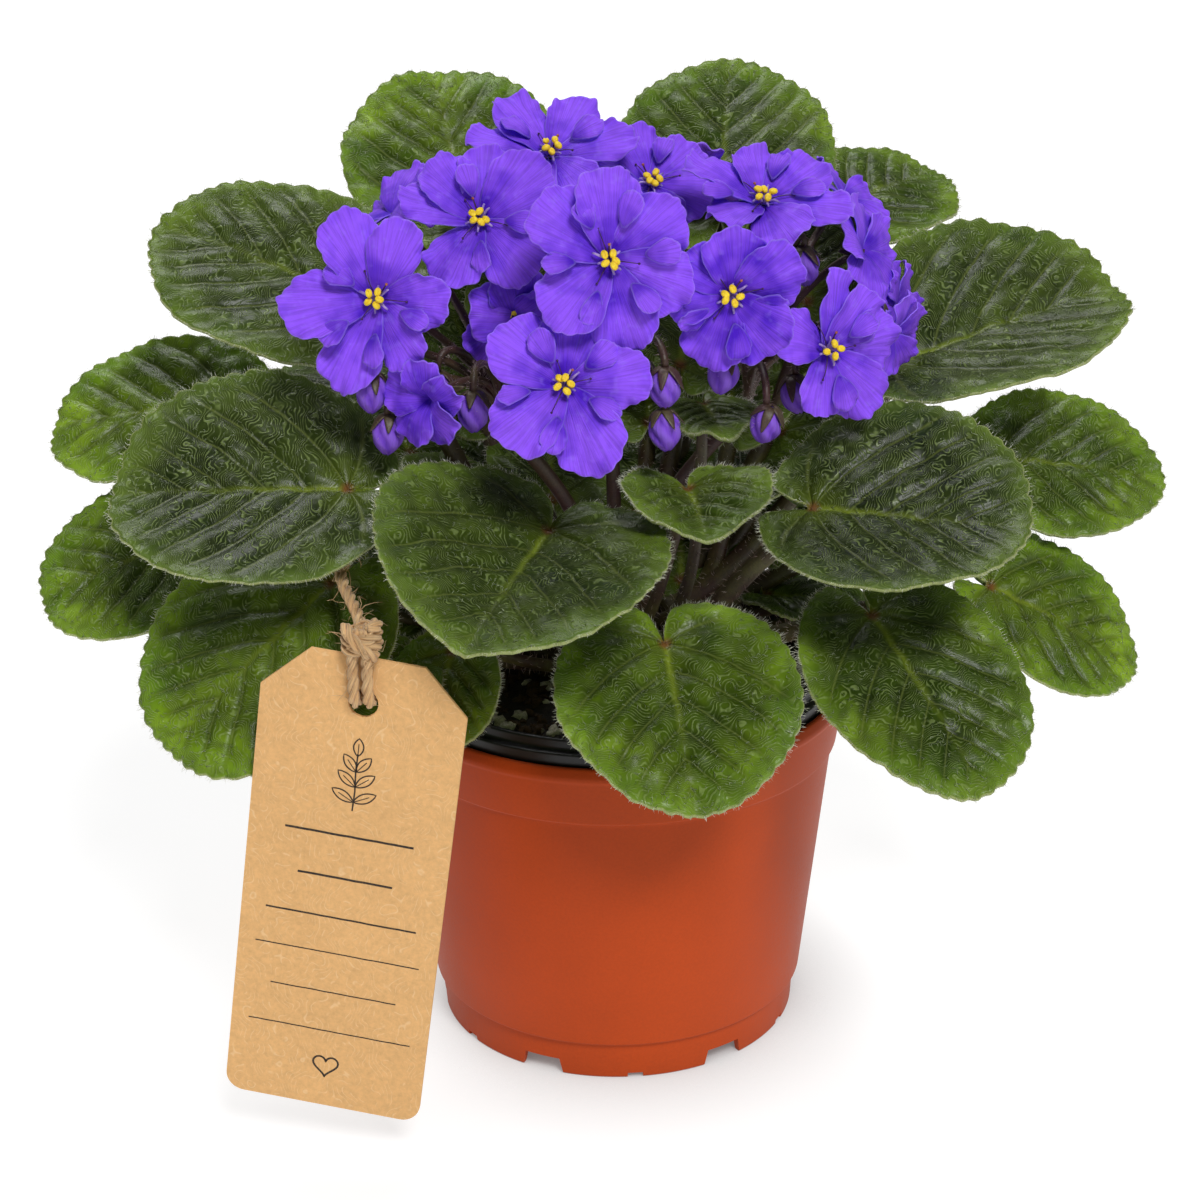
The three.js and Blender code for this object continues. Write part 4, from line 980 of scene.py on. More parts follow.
class VIOLET_OT_leaves(bpy.types.Operator):
    """Build the leaves: quilted toothed blades on fleshy stalks, and the hairs on them"""

    bl_idname = "violet.leaves"
    bl_label = "Leaves"

    def execute(self, context):
        props = context.scene.violet_leaves
        dice = random.Random(4)
        finishes = [quilted_leaf("violet_leaf_face", props),
                    quilted_leaf("violet_leaf_under_side", props, under=True),
                    fleshy_stalk("violet_leaf_stalk", props.stalk, 0.7)]
        hair = glassy_hair("violet_leaf_hair", 0x5E6A44, 0x98A480)
        # The hairs along the edge are near white: partly their own pale colour, partly a painted
        # backlight.
        edge_hair_and_painted_backlight = glassy_hair("violet_edge_hair", 0xAEB298, 0xECECDC)
        coarse, flat = disc(rings(12, 1.25), 120), disc(rings(BLADE_RINGS, 1.25), BLADE_SPOKES)
        hairs = {LOW: ([], []), MIDDLE: ([], []), HIGH: ([], [])}
        stalk_hairs = []
        for leaf in LEAVES:
            name, height = leaf[0], leaf[6][1]
            bm = grown_leaf(leaf, flat, props, dice, *hairs[height], stalk_hairs)
            finished(f"foliage_{name}", bm, finishes, [f"leaf_{name}"])
        bm = bmesh.new()
        for leaf in YOUNG_LEAVES:
            add_part(bm, grown_leaf(leaf, coarse, props, dice, *hairs[HIGH], stalk_hairs))
        finished("young_leaves", bm, finishes)
        bpy.data.meshes.remove(flat)
        bpy.data.meshes.remove(coarse)
        for label, (lying, fringe) in zip(("low", "middle", "high"), hairs.values()):
            bm = bmesh.new()
            scatter(bm, curled_masters(), lying, dice)
            finished(f"leaf_hairs_{label}", bm, [hair])
            bm = bmesh.new()
            scatter(bm, upright_masters(0.042), fringe, dice)
            finished(f"leaf_fringe_{label}", bm, [edge_hair_and_painted_backlight])
        bm = bmesh.new()
        scatter(bm, upright_masters(), stalk_hairs, dice)
        finished("leaf_stalk_hairs", bm, [glassy_hair("violet_stalk_hair", 0x9A7F78, 0xD8C4BC)])
        return {"FINISHED"}


# Blooms


def bloom_place(at, face):
    azimuth, elevation = face
    return (Matrix.Translation(at) @ Matrix.Rotation(math.radians(azimuth + 90), 4, "Z")
            @ Matrix.Rotation(math.radians(90 - elevation), 4, "X"))


def petal_sheet(flat, length, width, seed, tone, cup, props, ruffle=1.0):
    """One petal, its claw at the origin, its tip along +X and its face up, as a bmesh."""
    bm = bmesh.new()
    bm.from_mesh(flat)
    reach, turn = polar(bm)
    cos, sin = np.cos(turn), np.sin(turn)
    middle = 0.58 * length
    rim = np.clip((reach - 0.6) / 0.4, 0, 1) ** 1.5
    front = np.clip(cos + 0.75, 0, 1)  # the claw's own edge is smooth
    # Rounded scallops about 2.2 mm apart, with slower dents between them.
    scallop = np.abs(np.sin(7 * turn + 0.6 * np.sin(3 * turn + seed)))
    dents = 0.03 * np.cos(5 * turn + seed) + 0.025 * np.cos(3 * turn + 2 * seed)
    out = reach * (1 + front * rim * (0.055 * scallop - 0.03 + dents))
    long = np.where(cos > 0, length - middle, middle)
    x = middle + out * long * np.sign(cos) * np.abs(cos) ** 0.9
    y = out * width / 2 * np.sign(sin) * np.abs(sin) ** 0.9
    y = y * (1 - 0.55 * np.clip(-cos, 0, 1) ** 1.1)
    share = np.clip(x / length, 0, 1)
    wave = props.ruffle / MM * ruffle * rim * front
    z = 0.06 * x + cup * np.sin(math.pi * share ** 0.8) - 0.008 * y * y
    z = z + wave * (np.sin(4 * turn + seed) + 0.55 * np.sin(9 * turn + 3 * seed) + 0.35 * scallop)
    z = z + 0.3 * ruffle * np.cos(y * 0.9 + seed) * reach * share
    spread = np.arctan2(y, x + 2.5)
    petal = np.stack([x, y, np.full_like(x, seed)], 1)
    near = np.clip(x / length, 0, 1) * (1 - 0.55 * tone)
    marks = np.stack([near, (1 - reach) * width / 2, spread * 3.2], 1)
    written(bm, np.stack([x, y, z], 1), petal=petal, marks=marks)
    backed(bm, props.thickness / MM)
    return bm


def corolla(label, across, spin, big, little, props, dice):
    """The petals of one bloom, each over one neighbour and under the other, and small lobes."""
    bm = bmesh.new()
    even = [(180 + spin + 360 / PETALS * i, across / 2, across * dice.uniform(0.42, 0.5))
            for i in range(PETALS)]
    petals, lobes, tone, cup = SHAPES.get(label, (even, [], 0.35, 1.0))
    size = min(1.0, across / FULL_BLOOM)
    for direction, length, width in petals:
        tilt = Matrix.Rotation(math.radians(dice.uniform(10, 15)), 4, "X")
        lift = Matrix.Rotation(math.radians(dice.uniform(-8, 4) - 14 * max(0.0, cup - 1.5)), 4, "Y")
        turn = Matrix.Rotation(math.radians(direction), 4, "Z")
        sheet = petal_sheet(big, length, width, dice.uniform(0, 40), tone + dice.uniform(-0.1, 0.1),
                            cup, props, size)
        add_part(bm, sheet, turn @ lift @ tilt)
    for direction, radius in lobes:
        length = dice.uniform(6.2, 7.8)
        place = Matrix.Translation((radius - length * 0.55, 0, 2.5 + 0.4 * cup))
        lean = Matrix.Rotation(math.radians(dice.uniform(-8, 2)), 4, "Y")
        tip = Matrix.Rotation(math.radians(dice.choice((-1, 1)) * dice.uniform(12, 22)), 4, "X")
        turn = Matrix.Rotation(math.radians(direction), 4, "Z")
        small = petal_sheet(little, length, length * dice.uniform(0.62, 0.78), dice.uniform(0, 40),
                            tone, 0.7, props, 0.35)
        add_part(bm, small, turn @ place @ lean @ tip)
    return bm


def stamens(bm, dice):
    """Yellow two-lobed anthers on short filaments, pale side filaments and the style."""
    count = dice.choice((4, 5, 5))
    for i in range(count):
        angle = 2 * math.pi * i / count + dice.uniform(-0.3, 0.3)
        out = Vector((math.cos(angle), math.sin(angle), 0))
        top = out * dice.uniform(1.1, 1.7) + Vector((0, 0, dice.uniform(3.0, 4.2)))
        tube(bm, bezier((0, 0, 0.4), out * 0.6 + Vector((0, 0, 1.6)), top - Vector((0, 0, 1)), top,
                        5), [0.34] * 6, 6, slot=1)
        lobe = bmesh.new()
        bmesh.ops.create_uvsphere(lobe, u_segments=12, v_segments=8, radius=1)
        for vertex in lobe.verts:  # the slit between an anther's two halves
            slit = math.exp(-((vertex.co.y / 0.3) ** 2)) * max(0.0, vertex.co.z)
            vertex.co.z -= 0.45 * slit
        place = (Matrix.Translation(top) @ Matrix.Rotation(angle + dice.uniform(-0.7, 0.7), 4, "Z")
                 @ Matrix.Rotation(dice.uniform(-0.2, 0.5), 4, "Y")
                 @ Matrix.Diagonal((0.98, 0.74, 0.66, 1)))
        add_part(bm, lobe, place)
    for i in range(9):
        angle = 2 * math.pi * (i + dice.uniform(-0.3, 0.3)) / 9
        out = Vector((math.cos(angle), math.sin(angle), 0))
        dark = i % 3 == 0
        reach = dice.uniform(4.4, 6.6) if dark else dice.uniform(2.4, 3.8)
        thick = 0.14 if dark else 0.34
        end = out * reach + Vector((0, 0, 2.3))
        line = bezier((0, 0, 0.6), out * 1.2 + Vector((0, 0, 2.2)),
                      out * reach * 0.7 + Vector((0, 0, 2.9)), end, 6)
        tube(bm, line, [thick * (1.2 - 0.09 * j) for j in range(7)], 5, slot=2 if dark else 1)
        if dark:
            add_bead(bm, end, 0.3, 2)
    lean = Vector((dice.uniform(-0.6, 0.6), dice.uniform(0.2, 0.8), 1))
    end = lean * 4.6
    tube(bm, bezier((0, 0, 0.5), (0, 0, 2), lean * 3.5, end, 6), [0.18] * 7, 6, slot=2)
    add_bead(bm, end, 0.34, 3)


def add_bead(bm, centre, radius, slot):
    """A small rounded tip."""
    made = bmesh.ops.create_icosphere(bm, subdivisions=1, radius=radius,
                                      matrix=Matrix.Translation(centre))
    for face in {f for v in made["verts"] for f in v.link_faces}:
        face.material_index = slot


class VIOLET_OT_blooms(bpy.types.Operator):
    """Build the blooms: overlapping ruffled petals, and the stamens of the open ones"""

    bl_idname = "violet.blooms"
    bl_label = "Blooms"

    def execute(self, context):
        props = context.scene.violet_blooms
        velvet = velvet_petal("violet_petal", props)
        anther = mottled("anther_pollen_sac", linear(0xE2B414), props.anther, 1.4, 0.55, 0.15)
        filament = mottled("pale_filament", linear(0x6E4CB4), linear(0xB9A0D8), 0.8, 0.45, 0.05)
        style = mottled("dark_style", linear(0x2A0A3C), linear(0x4A1C5A), 0.8, 0.45, 0.05)
        stigma = mottled("stigma_tip", linear(0x8A3A2A), linear(0xC0784A), 1.2, 0.4, 0.05)
        big, little = disc(rings(9, 1.2), 108), disc(rings(5), 40)
        for _, _, _, blooms, _ in SPRAYS:
            for label, at, face, across, spin, is_open in blooms:
                dice = random.Random(int(label) * 7)
                bm = corolla(label, across, spin, big, little, props, dice)
                bmesh.ops.transform(bm, matrix=bloom_place(at, face), verts=bm.verts[:])
                finished(f"corolla_{label}", bm, [velvet], [f"bloom_{label}"])
                if is_open:
                    bm = bmesh.new()
                    stamens(bm, dice)
                    bmesh.ops.transform(bm, matrix=bloom_place(at, face), verts=bm.verts[:])
                    finished(f"anthers_{label}", bm, [anther, filament, style, stigma],
                             [f"stamens_{label}"])
        bpy.data.meshes.remove(big)
        bpy.data.meshes.remove(little)
        return {"FINISHED"}


# Flower stalks and buds


def sepal(bm, flat, place, length, width, slot, rule):
    """A narrow pointed sepal. The rule takes how far along it a point is, and how far across,
    and gives the point's place."""
    part = bmesh.new()
    part.from_mesh(flat)
    reach, turn = polar(part)
    share = 0.5 + reach * np.cos(turn) / 2
    across = reach * np.sin(turn) * width / 2 * (1.25 - 0.75 * share)
    written(part, np.array([rule(s * length, a) for s, a in zip(share, across)]))
    backed(part, 0.35)
    for face in part.faces:
        face.material_index = slot
    add_part(bm, part, place)


def spreading(along_it, across):
    """The sepals behind an open bloom: nearly flat, keeled and curving back at the tip."""
    return along_it, across, 0.25 * abs(across) - 0.012 * along_it ** 2


def clasping(along_it, across):
    """The sepals on a bud: they follow its side down from the top, and their tips stand off."""
    turn = along_it / 4.3
    flare = 0.35 + 0.9 * max(0.0, along_it - 4.4) ** 1.5 / 4
    radius = BUD_RADIUS * math.sin(min(turn, 1.7)) + flare
    return radius, across, 4.2 * math.cos(turn) + 0.3 - 0.12 * abs(across)


def bud(bm, flat, at, dice):
    """A closed hanging bud: furled petals, and five sepals clasping it from the stalk."""
    part = bmesh.new()
    bmesh.ops.create_uvsphere(part, u_segments=36, v_segments=20, radius=1)
    twist, start = dice.uniform(0.6, 1.2), dice.uniform(0, 6)
    places, petals, marks = [], [], []
    for vertex in part.verts:
        x, y, z = vertex.co
        turn = math.atan2(y, x)
        fold = abs(math.sin(2.5 * (turn + twist * z) + start)) ** 0.6
        swell = 0.76 + 0.28 * fold - 0.14 * max(0.0, -z) ** 3
        places.append((x * BUD_RADIUS * swell, y * BUD_RADIUS * swell,
                       z * BUD_HALF_HEIGHT - 0.6 * (1 - fold) * (z < -0.4)))
        petals.append((z * 4, turn * 3, start))
        # Painted shade: the violet is deeper in the creases between the furled petals, and the
        # crests take the painted edge highlight.
        marks.append((0.05 + 0.75 * fold, 0.1 + (1 - fold) * 0.5, turn * 0.6))
    written(part, places, petal=petals, marks=marks)
    for face in part.faces:
        face.material_index = 2
    lean = Matrix.Rotation(dice.uniform(-0.3, 0.3), 4, "X") @ Matrix.Rotation(
        dice.uniform(-0.3, 0.3), 4, "Y")
    add_part(bm, part, Matrix.Translation(at) @ lean)
    for i in range(5):
        turn = Matrix.Rotation(math.radians(72 * i + dice.uniform(-8, 8)) + start, 4, "Z")
        sepal(bm, flat, Matrix.Translation(at) @ lean @ turn, dice.uniform(5.6, 6.8), 2.3, 1,
              clasping)


def pedicel(bm, fork, end, into, hairs, dice):
    """A thin flower stalk from the fork, rising and then turning into its bloom or bud."""
    fork, end = Vector(fork), Vector(end)
    line = bezier(fork, fork + Vector((0, 0, 14)), end - into * 11, end, PEDICEL_STEPS)
    tube(bm, line, [1.0 - 0.2 * i / PEDICEL_STEPS for i in range(PEDICEL_STEPS + 1)], 8)
    for before, point in zip(line[1:], line[2:]):
        for _ in range(6):
            hairs.append(stalk_hair(before, point, 0.8, (0.6, 1.2), dice))


class VIOLET_OT_sprays(bpy.types.Operator):
    """Build the flower stalks: stems, pedicels, calyxes, buds and the hairs on them"""

    bl_idname = "violet.sprays"
    bl_label = "Flower stalks and buds"

    def execute(self, context):
        props = context.scene.violet_blooms
        finishes = [fleshy_stalk("flower_stalk_skin", props.stalk, 0.35),
                    fleshy_stalk("sepal_skin", linear(0x43242C), 0.55),
                    velvet_petal("furled_bud_petal", props, bud=True)]
        flat = disc([0, 0.34, 0.67, 1], 14)
        dice = random.Random(11)
        hairs = []
        for name, root, fork, blooms, buds in SPRAYS:
            bm = bmesh.new()
            start = Vector((*root, CROWN_TOP))
            rise = start + Vector((0, 0, STEM_RISE))
            stem = bezier(start, start.lerp(rise, 2 / 3), Vector(fork).lerp(rise, 2 / 3), fork,
                          STEM_STEPS)
            tube(bm, stem, [1.75 - 0.2 * i / STEM_STEPS for i in range(STEM_STEPS + 1)], 12)
            for _, at, face, *_ in blooms:
                place = bloom_place(at, face)
                into = place.to_3x3() @ Vector((0, 0, 1))
                pedicel(bm, fork, Vector(at) - into * 1.1, into, hairs, dice)
                add_bead(bm, Vector(at) - into * 0.9, 1.5, 1)
                for i in range(5):
                    turn = Matrix.Rotation(math.radians(72 * i + 18), 4, "Z")
                    back = Matrix.Rotation(math.radians(dice.uniform(-2, 16)), 4, "Y")
                    down = Matrix.Translation((0, 0, -0.9))
                    sepal(bm, flat, place @ down @ turn @ back, dice.uniform(6, 7.6), 2.2, 1,
                          spreading)
            for at in buds:
                pedicel(bm, fork, Vector(at) + Vector((0, 0, 4.2)), Vector((0, 0, -1)), hairs, dice)
                bud(bm, flat, at, dice)
                for _ in range(26):  # the down on a bud's upper half
                    out = Vector([dice.uniform(low, 1) for low in (-1, -1, 0)]).normalized()
                    root = Vector(at) + Matrix.Diagonal((3.4, 3.4, 4.2)) @ out
                    hairs.append(standing(root, out, Vector((0, 0, 1)), dice.uniform(0.5, 1.0)))
            finished(f"flower_stalk_{name}", bm, finishes, [f"spray_{name}"])
        bpy.data.meshes.remove(flat)
        bm = bmesh.new()
        scatter(bm, upright_masters(0.04), hairs, dice)
        finished("flower_stalk_hairs", bm, [glassy_hair("flower_stalk_hair", 0x8F6E72, 0xD6BDBE)])
        return {"FINISHED"}


# Pot and soil


def notch_cutter(bm, width, height, top_width, azimuth):
    """A tapered block that cuts one notch in the foot."""
    made = bmesh.ops.create_cube(bm, size=1)["verts"]
    for vertex in made:
        x, y, z = vertex.co
        narrow = top_width if z > 0 else width
        vertex.co = (FOOT_RING + x * 8, y * narrow, height if z > 0 else -2)
    turn = Matrix.Rotation(math.radians(azimuth), 4, "Z")
    bmesh.ops.transform(bm, matrix=turn, verts=made)


def drills(radius, low, high):
    """Round cutters for the drain holes."""
    bm = bmesh.new()
    for i in range(DRAINS):
        turn = Matrix.Rotation(math.radians(45 + 360 / DRAINS * i), 4, "Z")
        bmesh.ops.create_cone(
            bm, cap_ends=True, segments=32, radius1=radius, radius2=radius, depth=high - low,
            matrix=turn @ Matrix.Translation((DRAIN_CIRCLE, 0, (low + high) / 2)))
    return bm


class VIOLET_OT_pot(bpy.types.Operator):
    """Build the brown outer pot and the black inner pot"""

    bl_idname = "violet.pot"
    bl_label = "Pots"

    def execute(self, context):
        props = context.scene.violet_pot
        painted_ridge_highlight, height = props.radius / MM, props.height / MM
        outer = [(42.3, 9.2), (49.7, 67.4), (49.9, 68.2), (50.7, 68.5), (painted_ridge_highlight - 0.25, 78.6),
                 (painted_ridge_highlight, 79.2), (painted_ridge_highlight, 80), (51.7, height), (50.6, height)]
        foot = [(0, 7), (39.8, 7), (39.8, 0), (41.4, 0), (41.9, 8.6), (42.3, 9.2), (43.2, 9.5)]
        inside = [(50.6, 79.5), (48.3, 68.2), (41.6, 9), (0, 9)]
        profile = rounded(foot + outer[1:] + inside, 0.55)
        cutter = drills(4, 6, 10)
        for i in range(6):
            notch_cutter(cutter, 11, 3.8, 8.5, -115 + 60 * i)
            notch_cutter(cutter, 4, 1.2, 3.4, -85 + 60 * i)
        clay = moulded_plastic("clay_brown_polypropylene", props.clay, 0.5, 0.07, 0.14)
        finished("outer_pot", without(turned(profile, 160), cutter), [clay], ["pot"],
                 flat_above=38)
        profile = rounded([
            (0, 9.4), (40, 9.4), (47.6, 78.5), (50.2, 80), (50.2, 84.5), (48.5, 84.5),
            (48.1, 84.9), (47.9, 86.8), (46.6, 86.8), (46.5, 78.5), (39, 10.4), (0, 10.4)], 0.5)
        black = moulded_plastic("black_polystyrene", props.black, 0.34, 0.1, 0.4)
        finished("inner_grow_pot", without(turned(profile, 128), drills(3, 8, 12)),
                 [black], ["inner_pot"], flat_above=38)
        return {"FINISHED"}


def soil_height(x, y):
    """The height of the soil's surface at a place."""
    lump = noise.noise(Vector((x * 0.11, y * 0.11, 3))) * 1.1
    lump += noise.noise(Vector((x * 0.37, y * 0.37, 9))) * 0.7
    lump += noise.noise(Vector((x * 0.9, y * 0.9, 5))) * 0.3
    return SOIL_LEVEL + lump


def lumps(count, low, high, rough, squash):
    """Broken lumps in a range of shapes, as small meshes of a few dozen faces."""
    made = []
    for seed in range(count):
        bm = bmesh.new()
        bmesh.ops.create_icosphere(bm, subdivisions=2, radius=1)
        for vertex in bm.verts:
            push = noise.noise(vertex.co * 1.3 + Vector((seed * 3.1, 0, 0))) * rough
            vertex.co *= 1 + push
        bmesh.ops.transform(bm, matrix=Matrix.Diagonal((1, low + (high - low) * seed / count,
                                                        squash, 1)), verts=bm.verts[:])
        made.append(as_mesh("lump", bm))
    return made


class VIOLET_OT_soil(bpy.types.Operator):
    """Build the potting soil: a lumpy bed, crumbs of peat and white grains of perlite"""

    bl_idname = "violet.soil"
    bl_label = "Potting soil"

    def execute(self, context):
        props = context.scene.violet_soil
        dice = random.Random(8)
        bm = spun([(radius, 0) for radius in rings(40, 1.1, SOIL_RADIUS)], 150)
        for vertex in bm.verts:
            x, y, _ = vertex.co
            beyond = max(0, math.hypot(x, y) / SOIL_RADIUS - 0.93) / 0.07
            vertex.co.z = soil_height(x, y) - 1.6 * beyond
        rim = [e for e in bm.edges if e.is_boundary]
        for radius, height in ((46.0, 78), (39, 10.8)):
            ring, rim, _ = extruded(bm, rim)
            for vertex in ring:
                vertex.co = Vector((vertex.co.x, vertex.co.y, 0)).normalized() * radius
                vertex.co.z = height
        bmesh.ops.contextual_create(bm, geom=rim)
        bmesh.ops.recalc_face_normals(bm, faces=bm.faces[:])
        peat = mottled("damp_peat", linear(0x0B0805), props.peat, 0.8, 0.85, 0.7, 1.0)
        finished("potting_soil", bm, [peat], ["potting_mix"])
        for name, count, sizes, shapes, finish in (
            ("peat_crumbs", props.crumbs, (0.5, 1.7), (0.55, 1.0, 1.5, 0.6),
             mottled("peat_crumb", linear(0x1C130B), linear(0x5A4026), 1.2, 0.9, 0.4)),
            # Volcanic glass popped by heat: chalk-white and pitted, with painted grey shade in its
            # hollows.
            ("perlite_grains", props.perlite, (0.7, 2.0), (0.7, 1.0, 0.9, 0.8),
             mottled("expanded_perlite", linear(0x8D8574), linear(0xEDE6D6), 1.6, 0.8, 0.5)),
        ):
            bm = bmesh.new()
            matrices = []
            while len(matrices) < count:
                x, y = (dice.uniform(-44, 44) for _ in range(2))
                if not 13 < math.hypot(x, y) < 44.6:
                    continue
                size = dice.uniform(*sizes)
                turn = Matrix.Rotation(dice.uniform(0, 6.28), 4, "Z") @ Matrix.Rotation(
                    dice.uniform(-0.6, 0.6), 4, "X")
                spot = Vector((x, y, soil_height(x, y) + size * 0.2))
                matrices.append(Matrix.Translation(spot) @ turn @ Matrix.Scale(size, 4))
            scatter(bm, lumps(6, *shapes), matrices, dice)
            finished(name, bm, [finish])
        return {"FINISHED"}


# Tag and twine


def tag_place():
    yaw, lean = (Matrix.Rotation(math.radians(angle), 4, "Z") for angle in (TAG_YAW, TAG_LEAN))
    return Matrix.Translation(TAG_HOLE) @ yaw @ Matrix.Rotation(math.pi / 2, 4, "X") @ lean


def stroke(bm, points, width, closed=False):
    """A flat printed line on the tag: a narrow ribbon along points of its face."""
    points = [Vector((*p, TAG_THICKNESS / 2 + PRINT_HEIGHT)) for p in points]
    if closed:
        points = points + [points[0]]
    ahead = [(b - a).normalized() for a, b in zip(points, points[1:])]
    if closed:
        tangents = [(ahead[-1] + ahead[0]).normalized()]
    else:
        tangents = [ahead[0]]
    tangents += [(a + b).normalized() for a, b in zip(ahead, ahead[1:])]
    tangents += [tangents[0] if closed else ahead[-1]]
    side = Vector((0, 0, 1)).cross(tangents[0]) * width / 2
    edges = [bm.edges.new([bm.verts.new(points[0] - side), bm.verts.new(points[0] + side)])]
    for before, point, old, tangent in zip(points, points[1:], tangents, tangents[1:]):
        ends, edges, _ = extruded(bm, edges)
        turn = old.to_2d().angle_signed(tangent.to_2d(), 0)
        step = (Matrix.Translation(point) @ Matrix.Rotation(-turn, 4, "Z")
                @ Matrix.Translation(-before))
        bmesh.ops.transform(bm, matrix=step, verts=ends)


def almond(root, angle, length, width, steps=10):
    """The outline of a pointed leaf, from its root in a direction."""
    out = []
    for side in (1, -1):
        shares = [i / steps for i in range(steps)]
        for t in shares:
            t = t if side == 1 else 1 - t
            out.append((length * t, side * width / 2 * math.sin(math.pi * t) ** 0.8))
    turn = math.radians(angle)
    return [(root[0] + x * math.cos(turn) - y * math.sin(turn),
             root[1] + x * math.sin(turn) + y * math.cos(turn)) for x, y in out]


def rule(bm, y, half, width, dice):
    """A ruled line with the faint waver of a hand-set rule."""
    count = max(4, round(half))
    points = [(-half + 2 * half * i / count, y + dice.uniform(-0.04, 0.04))
              for i in range(count + 1)]
    stroke(bm, points, width)


class VIOLET_OT_tag(bpy.types.Operator):
    """Finish the card tag and print a plain sprig, blank writing lines and a heart on it"""

    bl_idname = "violet.tag"
    bl_label = "Tag"

    def execute(self, context):
        props = context.scene.violet_tag
        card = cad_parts["tag"]
        card.data.materials.clear()
        card.data.materials.append(kraft_card("recycled_kraft_card", props))
        width = props.stroke / MM
        dice = random.Random(3)
        bm = bmesh.new()
        stroke(bm, [(0, -24.5), (0.15, -20), (-0.1, -15.5), (0, -11.5)], width)
        for root, angle, length in (((0, -22.5), 28, 5.2), ((0, -22.5), 152, 5.2),
                                    ((0.1, -19), 40, 5), ((0.1, -19), 140, 5),
                                    ((0, -15.6), 52, 4.6), ((0, -15.6), 128, 4.6),
                                    ((0, -12), 90, 4)):
            stroke(bm, almond(root, angle, length, 2.1), width * 0.9, closed=True)
            turn = math.radians(angle)
            tip = (root[0] + math.cos(turn) * length * 0.7, root[1] + math.sin(turn) * length * 0.7)
            stroke(bm, [root, tip], width * 0.6)
        for y, half in ((-30.5, 13.5), (-40.5, 10)):
            rule(bm, y, half, width * 1.5, dice)
        rule(bm, -50, 16, width * 1.2, dice)
        for y, half in ((-58.5, 17.5), (-68, 13.5), (-77.5, 17.5)):
            rule(bm, y, half, width * 0.8, dice)
        heart = []
        for t in (2 * math.pi * i / 40 for i in range(40)):
            rise = 13 * math.cos(t) - 5 * math.cos(2 * t) - 2 * math.cos(3 * t) - math.cos(4 * t)
            heart.append((0.17 * 16 * math.sin(t) ** 3, -86 + 0.17 * rise))
        stroke(bm, heart, width * 1.3, closed=True)
        bmesh.ops.recalc_face_normals(bm, faces=bm.faces[:])
        for face in bm.faces:
            if face.normal.z < 0:
                face.normal_flip()
        bmesh.ops.transform(bm, matrix=tag_place(), verts=bm.verts[:])
        finished("tag_print", bm, [printed_ink("printed_ink", props)])
        return {"FINISHED"}


def rope(bm, line, diameter, pitch):
    """Three plies twisted round a line, with how far along and round each ply as an attribute."""
    layer = bm.verts.layers.float_vector.get("ply") or bm.verts.layers.float_vector.new("ply")
    ply = diameter / 2 / PLY_FILL
    places = along(line, [1] * len(line))
    runs = [0.0]
    for a, b in zip(line, line[1:]):
        runs.append(runs[-1] + (b - a).length)
    for i in range(PLIES):
        path = []
        for place, run in zip(places, runs):
            turn = 2 * math.pi * (run / pitch + i / PLIES)
            path.append(place @ (Vector((math.cos(turn), math.sin(turn), 0)) * ply * PLY_OFFSET))
        before = len(bm.verts)
        tube(bm, path, [ply * 1.04] * len(path), PLY_SIDES)
        bm.verts.ensure_lookup_table()
        for j, vertex in enumerate(bm.verts[before:]):
            reached = runs[min(j // PLY_SIDES, len(runs) - 1)]
            vertex[layer] = (reached, (j % PLY_SIDES) * 0.5, i * 7.3)


def fibres(line, count, dice, diameter):
    """Places for loose fibres that stand off a line of twine."""
    matrices = []
    for _ in range(count):
        i = dice.randrange(1, len(line))
        ahead = (line[i] - line[i - 1]).normalized()
        out = ahead.cross(any_way(dice)).normalized()
        lean = (out + ahead * dice.uniform(-1.6, 1.6)).normalized()
        root = line[i] + out * diameter * 0.4
        matrices.append(standing(root, lean, ahead + out * 0.1, dice.uniform(1.4, 4.2)))
    return matrices


def knot_lines():
    """The strands of the knot: a double wrap, a crossing strand and the loop through the hole."""
    yaw = math.radians(TAG_YAW)
    side = Vector((math.cos(yaw), math.sin(yaw), 0))
    toward = Vector((math.sin(yaw), -math.cos(yaw), 0))
    centre, hole = Vector(KNOT_CENTRE), Vector(TAG_HOLE)

    def near(place, aside, forward, above):
        return place + side * aside + toward * forward + Vector((0, 0, above))

    wrap = []
    for share in (i / 56 for i in range(57)):
        turn = 2 * math.pi * share * 2.25 - 0.6
        wrap.append(near(centre, 3.2 * math.cos(turn), 3.0 * math.sin(turn),
                         -2.1 + 4.4 * share + 0.9 * math.cos(turn)))
    cross = ((-3.1, 1.2, 3.0), (-0.9, 3.9, 1.2), (1.6, 3.7, -1.4), (3.0, 1.4, -3.2))
    lines = [wrap, through([near(centre, *place) for place in cross], 0.7)]
    clear = STRAND_CLEAR
    for half in (-STRAND_GAP, STRAND_GAP):
        loop = ((centre, half * 0.6, 1.6, 2.6), (centre, half, clear, -1.5),
                (hole, half, clear, 8), (hole, half, clear * 0.95, 1.6), (hole, half, 0, 0.2),
                (hole, half, -clear * 0.95, 1.6), (hole, half, -clear, 8),
                (centre, half, -clear, -1.5), (centre, half * 0.6, -1.2, 2.2))
        lines.append(through([near(*place) for place in loop], 0.8))
    return lines


